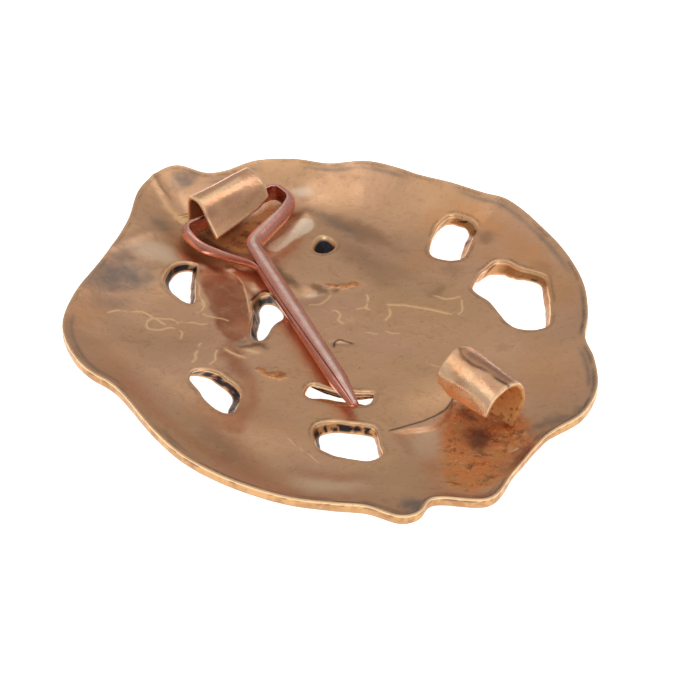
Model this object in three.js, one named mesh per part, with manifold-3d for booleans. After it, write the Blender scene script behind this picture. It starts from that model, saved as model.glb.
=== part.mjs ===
// A die-struck cap badge lying on its face, back upwards, in millimetres, +Z up.
// X runs along the line of the two lugs, from the hinge lug to the catch lug. The origin is the middle
// of the plate's outline, on the flat face of the central boss that the badge lies on.
import * as THREE from 'three';
import { mergeVertices } from 'three/addons/utils/BufferGeometryUtils.js';
import Module from 'manifold-3d';

const wasm = await Module();
wasm.setup();

// ---------------------------------------------------------------- driving dimensions

const PLATE_LENGTH = 52.2;          // along X
const PLATE_WIDTH = 43.4;           // along Y
const GAUGE = 1.25;                 // thickness of the struck metal
const RIM_THINNING = 0.3;           // how much thinner it is at the rim
const LEAST_WALL = 0.8;             // thinnest metal under a hollow
const BACK_LEVEL = 2.3;             // middle of the back, above the boss face
const RIM_RISE = 1.5;               // how far the rim turns up above the middle of the back
const RIM_BAND = 7;                 // width of the turned-up band
const GRID = 1.5;                   // spacing of the struck surfaces' points
const MARGIN = 2;                   // how far the struck surfaces run past the plate before it is cut out
const CUT_DEPTH = { from: -4, to: 8 };  // span of the cut that gives the plate its outline and voids

const BOSS = { x: 1, y: 1.5, a: 9, b: 6.5, shoulder: 1.2 };
const WREATH = { a: 20, b: 16, leaves: 16, length: 9, width: 4.6, depth: 0.7, splay: 0.45 };

const STRIP = 0.42;                 // thickness of the lugs' sheet
const LUG_LENGTH = 6.25;
const HINGE_LUG = { x: -20.1, y: -0.15, foot: -0.38, turn: THREE.MathUtils.degToRad(-2.5) };
const CATCH_LUG = { x: 12.85, y: 2.35, foot: -0.1, turn: THREE.MathUtils.degToRad(-90) };

const WIRE_R = 0.78;                // half-round wire of the split pin
const SEAM = 0.06;                  // between the two legs of its stem
const PIN_AXIS = { x: -18.2, y: 3.15, z: 1.0, turn: THREE.MathUtils.degToRad(-1.6) };
const PIN_TIP = [28.1, -8.95];      // from the middle of the crossbar, along and across

const CLEAR = 0.12;                 // between a braze fillet and what it joins

const OUTLINE_STEPS = 3;            // points of the finished loops for each point given below
const VOID_STEPS = 2;

// ---------------------------------------------------------------- the plate's outline and its voids

const OUTLINE = [
  [-26.1, 1.7], [-25.1, -1.5], [-22, -5.3], [-19.1, -10.4], [-16.6, -15.2], [-13.8, -18.5], [-10.2, -20.2],
  [-7.6, -20.6], [-4.5, -20.3], [2.4, -21.5], [6.4, -21.7], [10.9, -20.8], [15.5, -18.8], [18.6, -16.4],
  [20.5, -14.7], [23.2, -13.4], [23.7, -12], [23.1, -10.1], [26, -6.6], [24.3, -2.3], [22.8, 2], [22.6, 6.3],
  [20.8, 9.6], [17.7, 12.1], [15.2, 13.4], [13, 15.7], [9.8, 18.2], [6.4, 19.8], [2.5, 20.9], [-3.7, 21.5],
  [-5.5, 20.7], [-8.4, 19.6], [-11.4, 18.1], [-13.2, 17.5], [-15.8, 16], [-17.5, 13.4], [-19.9, 11.5],
  [-22, 8.8], [-22.9, 6], [-23.7, 4.6], [-25.8, 3.1],
];

const VOIDS = [
  [
    [-3.4, 12.9], [-2.7, 12.8], [-2, 13.1], [-1.2, 14], [-1.2, 14.6], [-2.6, 16.9], [-3.1, 17.8],
    [-3.9, 18.2], [-4.8, 18], [-5.7, 17.6], [-6, 17.2], [-5.9, 16.1], [-5.4, 15.1], [-4.5, 13.9],
  ],
  [
    [2.7, 12.3], [1.9, 13.5], [1.4, 14.9], [1.3, 16.2], [2, 16.7], [3.7, 16.9], [5.9, 17.4], [7.2, 16.6],
    [8.6, 15.6], [10.2, 14.2], [11, 13.1], [10.8, 12.5], [9.9, 11.7], [8.8, 11.3], [7.3, 11.5],
    [5.1, 12.1], [3.5, 12.1],
  ],
  [
    [-10.7, 6], [-11.1, 6.7], [-11.2, 7.3], [-10.7, 7.7], [-9.7, 7.6], [-9.2, 7], [-9.1, 6.1], [-9.4, 5.7],
    [-10, 5.6],
  ],
  [
    [-14.9, -6.8], [-15.3, -6.3], [-15.7, -5.4], [-15.9, -4.6], [-15.6, -3.7], [-15, -3.3], [-14.2, -3.9],
    [-12.4, -5.5], [-11, -6.8], [-11.4, -7.1], [-12.3, -7.3], [-13.5, -7.3], [-14.4, -7.1],
  ],
  [
    [-4.3, -6.1], [-6.2, -4.3], [-7.5, -3.2], [-8, -2.1], [-7.6, -1.3], [-6.2, -1.6], [-4.8, -2.2],
    [-4.3, -2.7], [-4.1, -3.8], [-3.3, -5.2], [-3.1, -5.9], [-3.5, -6.3],
  ],
  [
    [4.8, -7.8], [4.3, -7], [4.3, -6.5], [5.8, -5.7], [7.3, -4.5], [8.3, -3.5], [8.7, -3.8], [9.1, -4.5],
    [9, -5.2], [8.6, -5.7], [7.7, -6.6], [6.3, -7.5], [5.5, -8],
  ],
  [
    [8.9, -10.3], [8.6, -9.7], [8.9, -8.8], [10.2, -7.5], [11.3, -6.6], [11.9, -6.4], [13.7, -7.4],
    [14.8, -8.1], [15, -8.9], [14.7, -9.6], [13.7, -10.5], [12.1, -11.3], [10.9, -11.5], [9.8, -11],
  ],
  [
    [-2.9, -13.7], [-3.4, -12.9], [-3.1, -12.2], [-2.1, -11.6], [-0.6, -11.5], [0.4, -11.5], [1.6, -11.9],
    [2.4, -13], [2.9, -13.8], [2.7, -14.2], [1.8, -14.5], [0.5, -14.5], [-1.3, -14.1], [-2.4, -13.9],
  ],
];

function smoothLoop(points, perPoint) {
  const corners = points.map(([x, y]) => new THREE.Vector3(x, y, 0));
  const curve = new THREE.CatmullRomCurve3(corners, true, 'centripetal');
  const samples = curve.getPoints(points.length * perPoint).slice(0, -1);
  return samples.map((p) => new THREE.Vector2(p.x, p.y));
}

// The outline is brought to the plate's stated length and width, centred on the origin.
function fittedOutline() {
  const loop = smoothLoop(OUTLINE, OUTLINE_STEPS);
  const box = new THREE.Box2().setFromPoints(loop);
  const size = box.getSize(new THREE.Vector2());
  const middle = box.getCenter(new THREE.Vector2());
  const scale = new THREE.Vector2(PLATE_LENGTH / size.x, PLATE_WIDTH / size.y);
  return loop.map((p) => p.sub(middle).multiply(scale));
}

const outline = fittedOutline();

// ---------------------------------------------------------------- the struck surfaces

// Hollows in the back: [x, y, half length, half width, depth]. The first holds the hinge lug, the second
// lies under the catch lug, the others are the backs of the raised work on the face.
const HOLLOWS = [
  [-18, 3, 5.8, 5.6, 1.15],
  [17.7, -1.2, 6.4, 5, 0.75],
  [-11.3, -10.1, 5, 4, 0.4],
  [-9.8, 11.4, 6, 3.5, 0.35],
  [3.2, -17, 11, 2.4, 0.35],
];

function rimDistance(x, y) {
  let nearest = Infinity;
  outline.forEach((a, i) => {
    const b = outline[(i + 1) % outline.length];
    const along = new THREE.Vector2().subVectors(b, a);
    const t = THREE.MathUtils.clamp(((x - a.x) * along.x + (y - a.y) * along.y) / along.lengthSq(), 0, 1);
    nearest = Math.min(nearest, Math.hypot(x - a.x - t * along.x, y - a.y - t * along.y));
  });
  return nearest;
}

function rimLift(x, y) {
  return RIM_RISE * Math.max(0, 1 - rimDistance(x, y) / RIM_BAND) ** 2;
}

function backHeight(x, y) {
  let z = BACK_LEVEL + rimLift(x, y);
  for (const [cx, cy, a, b, depth] of HOLLOWS) {
    z -= depth * Math.exp(-((((x - cx) / a) ** 2 + ((y - cy) / b) ** 2) ** 2));
  }
  return z;
}

function leafDepth(x, y) {
  let depth = 0;
  for (let i = 0; i < WREATH.leaves; i++) {
    const angle = (2 * Math.PI * i) / WREATH.leaves;
    const tangent = Math.atan2(WREATH.b * Math.cos(angle), -WREATH.a * Math.sin(angle)) + WREATH.splay;
    const dx = x - WREATH.a * Math.cos(angle);
    const dy = y - WREATH.b * Math.sin(angle);
    const along = (dx * Math.cos(tangent) + dy * Math.sin(tangent)) / (WREATH.length / 2);
    const across = (dy * Math.cos(tangent) - dx * Math.sin(tangent)) / (WREATH.width / 2);
    depth = Math.max(depth, WREATH.depth * (1 - along ** 2 - across ** 2));
  }
  return depth;
}

// The face looks down, so its raised work is lower: plain field, leaves, and the boss with its flat top.
function faceHeight(x, y) {
  const reach = Math.hypot((x - BOSS.x) / BOSS.a, (y - BOSS.y) / BOSS.b);
  const nearRim = Math.max(0, 1 - rimDistance(x, y) / RIM_BAND);
  const gauge = GAUGE - RIM_THINNING * nearRim + leafDepth(x, y) * (1 - nearRim);
  const field = BACK_LEVEL + rimLift(x, y) - gauge;
  const boss = (reach - 1) * BOSS.b * (BACK_LEVEL - GAUGE) / BOSS.shoulder;
  const underHollow = backHeight(x, y) - LEAST_WALL;
  return Math.max(0, Math.min(field, boss, underHollow));
}

// A block over the whole plate with its top and bottom pushed to two height functions.
function fieldBlock(topHeight, bottomHeight) {
  const length = PLATE_LENGTH + 2 * MARGIN;
  const width = PLATE_WIDTH + 2 * MARGIN;
  const block = new THREE.BoxGeometry(length, width, 2, Math.round(length / GRID), Math.round(width / GRID), 1);
  const at = block.getAttribute('position');
  for (let i = 0; i < at.count; i++) {
    const height = at.getZ(i) > 0 ? topHeight : bottomHeight;
    at.setZ(i, height(at.getX(i), at.getY(i)));
  }
  return block;
}

// ---------------------------------------------------------------- solids

function solid(geometry) {
  const bare = geometry.clone();
  bare.deleteAttribute('normal');
  bare.deleteAttribute('uv');
  const merged = mergeVertices(bare, 1e-4);
  return new wasm.Manifold(new wasm.Mesh({
    numProp: 3,
    vertProperties: new Float32Array(merged.getAttribute('position').array),
    triVerts: new Uint32Array(merged.getIndex().array),
  }));
}

function geometryOf(body) {
  const mesh = body.getMesh();
  const geometry = new THREE.BufferGeometry();
  geometry.setAttribute('position', new THREE.BufferAttribute(mesh.vertProperties, 3));
  geometry.setIndex(new THREE.BufferAttribute(mesh.triVerts, 1));
  geometry.computeVertexNormals();
  return geometry;
}

function part(name, geometry, material) {
  const mesh = new THREE.Mesh(geometry, material);
  mesh.name = name;
  return mesh;
}

// ---------------------------------------------------------------- materials

const bronze = new THREE.MeshStandardMaterial({ color: 0xb08766, roughness: 0.34, metalness: 1 });
const gilding = new THREE.MeshStandardMaterial({ color: 0xd0a268, roughness: 0.26, metalness: 1 });
const brazeMetal = new THREE.MeshStandardMaterial({ color: 0xb5662f, roughness: 0.7, metalness: 0.6 });
const copper = new THREE.MeshStandardMaterial({ color: 0xb96f5e, roughness: 0.3, metalness: 1 });

// ---------------------------------------------------------------- badge plate

function badgePlate() {
  const shape = new THREE.Shape(outline);
  shape.holes = VOIDS.map((points) => new THREE.Path(smoothLoop(points, VOID_STEPS).reverse()));
  const depth = CUT_DEPTH.to - CUT_DEPTH.from;
  const prism = new THREE.ExtrudeGeometry(shape, { depth, bevelEnabled: false });
  prism.translate(0, 0, CUT_DEPTH.from);
  return geometryOf(solid(prism).intersect(solid(fieldBlock(backHeight, faceHeight))));
}

// ---------------------------------------------------------------- lugs

// A lug is a strip bent into a hook. Each end's outer profile runs from the foot over the ridge to the
// lip: [reach towards the lip, height above the foot]. The two ends of a lug are not curled quite alike.
const HINGE_NEAR = [
  [0, 0], [0, 1.4], [0.05, 2.75], [0.35, 3.25], [1.45, 3.5], [2.4, 3.05], [3, 2.2], [4.3, 1],
];
const HINGE_FAR = [
  [0, 0], [-0.05, 1.5], [-0.1, 2.85], [0.15, 3.5], [1.25, 3.75], [2.3, 3.4], [2.85, 2.95], [3.5, 1.8],
];
const CATCH_NEAR = [
  [0, 0], [-0.5, 0.9], [-1.1, 2.2], [-1, 3.4], [-0.4, 4.3], [0.6, 4.62], [1.6, 4.45], [2.5, 3.9], [3.35, 2.65],
];
const CATCH_FAR = [
  [0, 0], [-0.6, 1.2], [-1.2, 2.5], [-1.2, 3.4], [-0.5, 4.4], [0.9, 4.9], [2.3, 4.1], [3, 3], [2.6, 1.2],
];
const PROFILE_STEPS = 14;

function ring(profile, y) {
  const corners = profile.map(([x, z]) => new THREE.Vector3(x, y, z));
  const curve = new THREE.CatmullRomCurve3(corners, false, 'centripetal');
  const outer = curve.getSpacedPoints(PROFILE_STEPS);
  const inner = outer.map((p, i) => {
    const tangent = curve.getTangentAt(i / PROFILE_STEPS);
    return new THREE.Vector3(p.x + tangent.z * STRIP, y, p.z - tangent.x * STRIP);
  });
  return outer.concat(inner.reverse());
}

// Lofts between the two end rings; the strip runs along +Y from its near end.
function lugGeometry(near, far) {
  const rings = [ring(near, 0), ring(far, LUG_LENGTH)];
  const count = rings[0].length;
  const flat = rings[0].map((p) => new THREE.Vector2(p.x, p.z));
  const caps = THREE.ShapeUtils.triangulateShape(flat, []);
  const index = [];
  for (let i = 0; i < count; i++) {
    const j = (i + 1) % count;
    index.push(i, count + i, j, j, count + i, count + j);
  }
  const turned = THREE.ShapeUtils.isClockWise(flat);
  for (const cap of caps) {
    const [a, b, c] = turned ? cap.reverse() : cap;
    index.push(a, b, c, count + a, count + c, count + b);
  }
  const geometry = new THREE.BufferGeometry();
  const corners = rings.flat().flatMap((p) => p.toArray());
  geometry.setAttribute('position', new THREE.Float32BufferAttribute(corners, 3));
  geometry.setIndex(index);
  geometry.computeVertexNormals();
  return outwards(geometry);
}

// Turns the faces over if they point inwards.
function outwards(geometry) {
  const at = geometry.getAttribute('position');
  const order = geometry.getIndex().array;
  const corner = (i) => new THREE.Vector3().fromBufferAttribute(at, order[i]);
  let volume = 0;
  for (let i = 0; i < order.length; i += 3) {
    volume += corner(i).dot(corner(i + 1).cross(corner(i + 2)));
  }
  if (volume < 0) {
    geometry.setIndex(Array.from(order).reverse());
    geometry.computeVertexNormals();
  }
  return geometry;
}

function lug(name, near, far, place) {
  const mesh = part(name, lugGeometry(near, far), gilding);
  mesh.position.set(place.x, place.y, BACK_LEVEL + place.foot);
  mesh.rotation.z = place.turn;
  return mesh;
}

// ---------------------------------------------------------------- braze fillets

// A low mound of braze that lies on the back: an ellipsoid cut off just above the struck surface, and
// cut back from the lug's foot.
function brazeGeometry(mound, lugMesh) {
  const ball = new THREE.SphereGeometry(1, MOUND_SIDES, MOUND_RINGS);
  ball.scale(mound.a, mound.b, mound.height);
  ball.rotateZ(mound.turn);
  ball.translate(mound.x, mound.y, backHeight(mound.x, mound.y));
  const above = fieldBlock(() => CUT_DEPTH.to, (x, y) => backHeight(x, y) + CLEAR);
  lugMesh.updateMatrixWorld();
  const foot = new THREE.BoxGeometry(STRIP + 2 * CLEAR + mound.lean, LUG_LENGTH + 2 * CLEAR, FOOT_CUT);
  foot.translate((STRIP - mound.lean) / 2, LUG_LENGTH / 2, FOOT_CUT / 3);
  foot.applyMatrix4(lugMesh.matrixWorld);
  return geometryOf(solid(ball).intersect(solid(above)).subtract(solid(foot)));
}

const MOUND_SIDES = 20;
const MOUND_RINGS = 12;
const FOOT_CUT = 3;                 // height of the cut that keeps a mound off the lug's foot
const HINGE_BRAZE = { x: -21, y: 2.6, a: 0.85, b: 3.2, height: 1.0, turn: HINGE_LUG.turn, lean: 0 };
const CATCH_BRAZE = { x: 20.5, y: 1, a: 1.3, b: 2.0, height: 0.8, turn: 0.5, lean: 0.8 };

// ---------------------------------------------------------------- split pin

const STEM_START = [7.7, -2.75];    // where the left leg joins the stem
const PIN_STEPS = 84;               // rings along the wire
const ARC_SIDES = 6;                // sides of the half-round section's arc
const TAPER = { stretch: 3.5, blunt: 0.45 };  // of the tip: its length, and the share of width left at its end

// The line of the wire's flat side, from the left leg's tip round the head to the right leg's tip, from
// the middle of the crossbar: [along the stem, across, rounding of the corner].
function pinCorners() {
  const stemTurn = Math.atan2(PIN_TIP[1] - STEM_START[1], PIN_TIP[0] - STEM_START[0]);
  const side = [-Math.sin(stemTurn) * SEAM / 2, Math.cos(stemTurn) * SEAM / 2];
  const inner = WIRE_R / 2;
  return [
    [PIN_TIP[0] - side[0], PIN_TIP[1] - side[1], 0],
    [STEM_START[0] - side[0], STEM_START[1] - side[1], 1.2],
    [3.0, -5.2, 1.0],
    [inner, -5.0, 0.9],
    [inner, 4.4, 0.6],
    [2.3, 4.35, 0.7],
    [3.5, 2.6, 1.0],
    [5.4 + side[0], -2.05 + side[1], 1.0],
    [PIN_TIP[0] + side[0], PIN_TIP[1] + side[1], 0],
  ];
}

function roundedPath(corners) {
  const path = new THREE.CurvePath();
  let from = new THREE.Vector3(corners[0][0], corners[0][1], 0);
  for (let i = 1; i < corners.length - 1; i++) {
    const around = [corners[i - 1], corners[i], corners[i + 1]];
    const [before, here, after] = around.map(([x, y]) => new THREE.Vector3(x, y, 0));
    const cut = corners[i][2];
    const start = here.clone().add(before.sub(here).setLength(cut));
    const end = here.clone().add(after.sub(here).setLength(cut));
    path.add(new THREE.LineCurve3(from, start));
    path.add(new THREE.QuadraticBezierCurve3(start, here, end));
    from = end;
  }
  const [x, y] = corners[corners.length - 1];
  path.add(new THREE.LineCurve3(from, new THREE.Vector3(x, y, 0)));
  return path;
}

// Half-round section: flat side on the path, round side facing out of the loop.
function halfRound(radius, sides) {
  const points = [];
  for (let i = 0; i <= sides; i++) {
    const angle = (Math.PI * i) / sides;
    points.push(new THREE.Vector2(radius * Math.cos(angle), radius * Math.sin(angle)));
  }
  return new THREE.Shape(points);
}

// Draws the two legs to a blunt point over the last stretch of the stem.
function taperTip(geometry) {
  const tip = new THREE.Vector2(...PIN_TIP);
  const back = new THREE.Vector2(...STEM_START).sub(tip).normalize();
  const at = geometry.getAttribute('position');
  for (let i = 0; i < at.count; i++) {
    const from = new THREE.Vector2(at.getX(i), at.getY(i)).sub(tip);
    const along = from.dot(back);
    if (along > TAPER.stretch) {
      continue;
    }
    const keep = TAPER.blunt + (1 - TAPER.blunt) * Math.max(0, along) / TAPER.stretch;
    const across = from.clone().addScaledVector(back, -along).multiplyScalar(keep);
    at.setXY(i, tip.x + back.x * along + across.x, tip.y + back.y * along + across.y);
    at.setZ(i, at.getZ(i) * keep);
  }
}

function splitPin() {
  const geometry = new THREE.ExtrudeGeometry(halfRound(WIRE_R, ARC_SIDES), {
    steps: PIN_STEPS,
    extrudePath: roundedPath(pinCorners()),
    bevelEnabled: false,
  });
  taperTip(geometry);
  const mesh = part('split_pin', geometry, copper);
  mesh.position.set(PIN_AXIS.x, PIN_AXIS.y, BACK_LEVEL + PIN_AXIS.z);
  mesh.rotation.z = PIN_AXIS.turn;
  return mesh;
}

// ---------------------------------------------------------------- assembly

const hingeLug = lug('hinge_lug', HINGE_NEAR, HINGE_FAR, HINGE_LUG);
const catchLug = lug('catch_lug', CATCH_FAR, CATCH_NEAR, CATCH_LUG);

const badge = new THREE.Group();
badge.add(part('badge_plate', badgePlate(), bronze));
badge.add(hingeLug);
badge.add(catchLug);
badge.add(part('hinge_lug_braze', brazeGeometry(HINGE_BRAZE, hingeLug), gilding));
badge.add(part('catch_lug_braze', brazeGeometry(CATCH_BRAZE, catchLug), brazeMetal));
badge.add(splitPin());

export default badge;
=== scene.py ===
"""Looks of a die-struck cap badge that lies on its face, back upwards, with a split pin in its hinge lug.

Shapes are worked out in millimetres in the part's own frame and turned to metres as each mesh is made.
X runs from the hinge lug to the catch lug, Z is up, and the boss of the face rests on Z = 0.
"""
import math

import bmesh
import bpy
import numpy as np
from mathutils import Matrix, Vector
from mathutils.geometry import delaunay_2d_cdt


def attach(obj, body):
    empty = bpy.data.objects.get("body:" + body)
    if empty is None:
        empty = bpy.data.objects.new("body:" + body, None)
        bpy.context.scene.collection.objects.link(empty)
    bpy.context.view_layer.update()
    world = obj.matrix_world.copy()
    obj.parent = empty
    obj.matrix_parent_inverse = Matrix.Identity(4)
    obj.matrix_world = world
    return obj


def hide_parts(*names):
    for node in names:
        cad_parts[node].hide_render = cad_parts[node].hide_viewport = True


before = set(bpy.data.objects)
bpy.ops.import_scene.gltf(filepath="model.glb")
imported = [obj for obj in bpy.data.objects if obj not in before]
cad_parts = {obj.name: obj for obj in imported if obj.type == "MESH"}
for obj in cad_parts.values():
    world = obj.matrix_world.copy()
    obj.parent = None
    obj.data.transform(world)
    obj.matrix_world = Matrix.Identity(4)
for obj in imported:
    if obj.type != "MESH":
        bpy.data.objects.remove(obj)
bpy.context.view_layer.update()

MM = 0.001

# ------------------------------------------------------------------ dimensions shared with the CAD part

PLATE_SIZE = np.array([52.2, 43.4])
GAUGE, RIM_THINNING, LEAST_WALL = 1.25, 0.3, 0.8
BACK_LEVEL, RIM_RISE, RIM_BAND = 2.3, 1.5, 7.0
BOSS = dict(x=1.0, y=1.5, a=9.0, b=6.5, shoulder=1.2)
WREATH = dict(a=20.0, b=16.0, leaves=16, length=9.0, width=4.6, depth=0.7, splay=0.45)
STRIP, LUG_LENGTH = 0.42, 6.25
HINGE_LUG = dict(x=-20.1, y=-0.15, foot=-0.38, turn=math.radians(-2.5))
CATCH_LUG = dict(x=12.85, y=2.35, foot=-0.1, turn=math.radians(-90))
WIRE_R, SEAM = 0.78, 0.015
PIN_AXIS = dict(x=-18.2, y=3.15, z=1.0, turn=math.radians(-1.6))
PIN_TIP, STEM_START = np.array([28.1, -8.95]), np.array([7.7, -2.75])
PIN_TAPER, PIN_BLUNT = 3.5, 0.45

OUTLINE = [
    (-26.1, 1.7), (-25.1, -1.5), (-22, -5.3), (-19.1, -10.4), (-16.6, -15.2), (-13.8, -18.5),
    (-10.2, -20.2), (-7.6, -20.6), (-4.5, -20.3), (2.4, -21.5), (6.4, -21.7), (10.9, -20.8),
    (15.5, -18.8), (18.6, -16.4), (20.5, -14.7), (23.2, -13.4), (23.7, -12), (23.1, -10.1), (26, -6.6),
    (24.3, -2.3), (22.8, 2), (22.6, 6.3), (20.8, 9.6), (17.7, 12.1), (15.2, 13.4), (13, 15.7),
    (9.8, 18.2), (6.4, 19.8), (2.5, 20.9), (-3.7, 21.5), (-5.5, 20.7), (-8.4, 19.6), (-11.4, 18.1),
    (-13.2, 17.5), (-15.8, 16), (-17.5, 13.4), (-19.9, 11.5), (-22, 8.8), (-22.9, 6), (-23.7, 4.6),
    (-25.8, 3.1),
]
VOIDS = [
    [(-3.4, 12.9), (-2.7, 12.8), (-2, 13.1), (-1.2, 14), (-1.2, 14.6), (-2.6, 16.9), (-3.1, 17.8),
     (-3.9, 18.2), (-4.8, 18), (-5.7, 17.6), (-6, 17.2), (-5.9, 16.1), (-5.4, 15.1), (-4.5, 13.9)],
    [(2.7, 12.3), (1.9, 13.5), (1.4, 14.9), (1.3, 16.2), (2, 16.7), (3.7, 16.9), (5.9, 17.4),
     (7.2, 16.6), (8.6, 15.6), (10.2, 14.2), (11, 13.1), (10.8, 12.5), (9.9, 11.7), (8.8, 11.3),
     (7.3, 11.5), (5.1, 12.1), (3.5, 12.1)],
    [(-10.7, 6), (-11.1, 6.7), (-11.2, 7.3), (-10.7, 7.7), (-9.7, 7.6), (-9.2, 7), (-9.1, 6.1),
     (-9.4, 5.7), (-10, 5.6)],
    [(-14.9, -6.8), (-15.3, -6.3), (-15.7, -5.4), (-15.9, -4.6), (-15.6, -3.7), (-15, -3.3),
     (-14.2, -3.9), (-12.4, -5.5), (-11, -6.8), (-11.4, -7.1), (-12.3, -7.3), (-13.5, -7.3),
     (-14.4, -7.1)],
    [(-4.3, -6.1), (-6.2, -4.3), (-7.5, -3.2), (-8, -2.1), (-7.6, -1.3), (-6.2, -1.6), (-4.8, -2.2),
     (-4.3, -2.7), (-4.1, -3.8), (-3.3, -5.2), (-3.1, -5.9), (-3.5, -6.3)],
    [(4.8, -7.8), (4.3, -7), (4.3, -6.5), (5.8, -5.7), (7.3, -4.5), (8.3, -3.5), (8.7, -3.8),
     (9.1, -4.5), (9, -5.2), (8.6, -5.7), (7.7, -6.6), (6.3, -7.5), (5.5, -8)],
    [(8.9, -10.3), (8.6, -9.7), (8.9, -8.8), (10.2, -7.5), (11.3, -6.6), (11.9, -6.4), (13.7, -7.4),
     (14.8, -8.1), (15, -8.9), (14.7, -9.6), (13.7, -10.5), (12.1, -11.3), (10.9, -11.5), (9.8, -11)],
    [(-2.9, -13.7), (-3.4, -12.9), (-3.1, -12.2), (-2.1, -11.6), (-0.6, -11.5), (0.4, -11.5),
     (1.6, -11.9), (2.4, -13), (2.9, -13.8), (2.7, -14.2), (1.8, -14.5), (0.5, -14.5), (-1.3, -14.1),
     (-2.4, -13.9)],
]
HOLLOWS = [
    (-18, 3, 5.8, 5.6, 1.15), (17.7, -1.2, 6.4, 5, 0.75), (-11.3, -10.1, 5, 4, 0.4),
    (-9.8, 11.4, 6, 3.5, 0.35), (3.2, -17, 11, 2.4, 0.35),
]
HINGE_NEAR = [(0, 0), (0, 1.4), (0.05, 2.75), (0.35, 3.25), (1.45, 3.5), (2.4, 3.05), (3, 2.2), (4.3, 1)]
HINGE_FAR = [
    (0, 0), (-0.05, 1.5), (-0.1, 2.85), (0.15, 3.5), (1.25, 3.75), (2.3, 3.4), (2.85, 2.95), (3.5, 1.8),
]
CATCH_NEAR = [
    (0, 0), (-0.5, 0.9), (-1.1, 2.2), (-1, 3.4), (-0.4, 4.3), (0.6, 4.62), (1.6, 4.45), (2.5, 3.9),
    (3.35, 2.65),
]
CATCH_FAR = [
    (0, 0), (-0.6, 1.2), (-1.2, 2.5), (-1.2, 3.4), (-0.5, 4.4), (0.9, 4.9), (2.3, 4.1), (3, 3),
    (2.6, 1.2),
]

# ------------------------------------------------------------------ curves and fields


def catmull(points, per_span, closed):
    """Centripetal Catmull-Rom curve through the points."""
    p = np.array(points, float)
    if closed:
        ends = np.vstack([p[-1:], p, p[:2]])
    else:
        ends = np.vstack([2 * p[:1] - p[1:2], p, 2 * p[-1:] - p[-2:-1]])
    out = []
    for i in range(len(ends) - 3):
        p0, p1, p2, p3 = ends[i:i + 4]
        d0, d1, d2 = (np.linalg.norm(b - a) ** 0.5 for a, b in ((p0, p1), (p1, p2), (p2, p3)))
        t1 = ((p1 - p0) / d0 - (p2 - p0) / (d0 + d1) + (p2 - p1) / d1) * d1
        t2 = ((p2 - p1) / d1 - (p3 - p1) / (d1 + d2) + (p3 - p2) / d2) * d1
        t = np.arange(per_span)[:, None] / per_span
        out.append(p1 + t1 * t + (3 * (p2 - p1) - 2 * t1 - t2) * t ** 2 + (2 * (p1 - p2) + t1 + t2) * t ** 3)
    if not closed:
        out.append(p[-1:])
    return np.vstack(out)


def run_along(path):
    """Distance along a path from its start to each of its points."""
    return np.concatenate([[0], np.cumsum(np.linalg.norm(np.diff(path, axis=0), axis=1))])


def left_of(path, closed=False):
    """Unit direction to the left of a path at each of its points."""
    ahead = np.roll(path, -1, axis=0) - np.roll(path, 1, axis=0) if closed else np.gradient(path, axis=0)
    return np.stack([-ahead[:, 1], ahead[:, 0]], axis=1) / np.linalg.norm(ahead, axis=1)[:, None]


def out_of(loop):
    """Unit direction out of a closed loop at each of its points."""
    area = np.sum(loop[:, 0] * np.roll(loop[:, 1], -1) - np.roll(loop[:, 0], -1) * loop[:, 1])
    return -left_of(loop, closed=True) * np.sign(area)


def nearest_index(points, loop):
    """Which of the loop's own points is nearest to each point."""
    return np.linalg.norm(points[:, None] - loop[None], axis=2).argmin(axis=1)


def turned(flat, angle, x, y):
    """Points turned in plan by an angle, then moved by (x, y)."""
    c, s = math.cos(angle), math.sin(angle)
    return np.stack([x + flat[:, 0] * c - flat[:, 1] * s, y + flat[:, 0] * s + flat[:, 1] * c], axis=1)


def spaced(line, spacing=None, count=None, closed=False):
    """The line again, with its points evenly spaced."""
    path = np.vstack([line, line[:1]]) if closed else line
    run = run_along(path)
    count = count or max(3, round(run[-1] / spacing))
    at = np.linspace(0, run[-1], count, endpoint=not closed)
    return np.stack([np.interp(at, run, path[:, k]) for k in range(path.shape[1])], axis=1)


def span_distance(points, a, b):
    """Distance from each point to the segment a-b, how far along it is (0 to 1), and which side."""
    ab = b - a
    t = np.clip(((points - a) @ ab) / (ab @ ab), 0, 1)
    off = points - a - t[:, None] * ab
    return np.hypot(off[:, 0], off[:, 1]), t, ab[0] * off[:, 1] - ab[1] * off[:, 0]


def line_distance(points, line):
    """Distance to an open line, the share of its length at the nearest place, and the side (left is +)."""
    line = np.array(line, float)
    best, share, side = np.full(len(points), 1e9), np.zeros(len(points)), np.ones(len(points))
    for i in range(len(line) - 1):
        d, t, s = span_distance(points, line[i], line[i + 1])
        near = d < best
        best[near], share[near], side[near] = d[near], (i + t[near]) / (len(line) - 1), np.sign(s[near])
    return best, share, side


def loop_distance(points, loop, reach=1e9):
    """Distance from each point to a closed loop; points past the reach of its box only get that reach."""
    best = np.full(len(points), float(reach))
    low, high = loop.min(axis=0) - reach, loop.max(axis=0) + reach
    near = np.all((points > low) & (points < high), axis=1)
    close, found = points[near], best[near]
    for a, b in zip(loop, np.roll(loop, -1, axis=0)):
        found = np.minimum(found, span_distance(close, a, b)[0])
    best[near] = found
    return best


def inside(points, loop):
    """Whether each point lies inside a closed loop."""
    x, y = points[:, 0], points[:, 1]
    odd = np.zeros(len(points), bool)
    for (ax, ay), (bx, by) in zip(loop, np.roll(loop, -1, axis=0)):
        crosses = (ay > y) != (by > y)
        level = by - ay if by != ay else 1.0
        odd ^= crosses & (x < (bx - ax) * (y - ay) / level + ax)
    return odd


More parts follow.
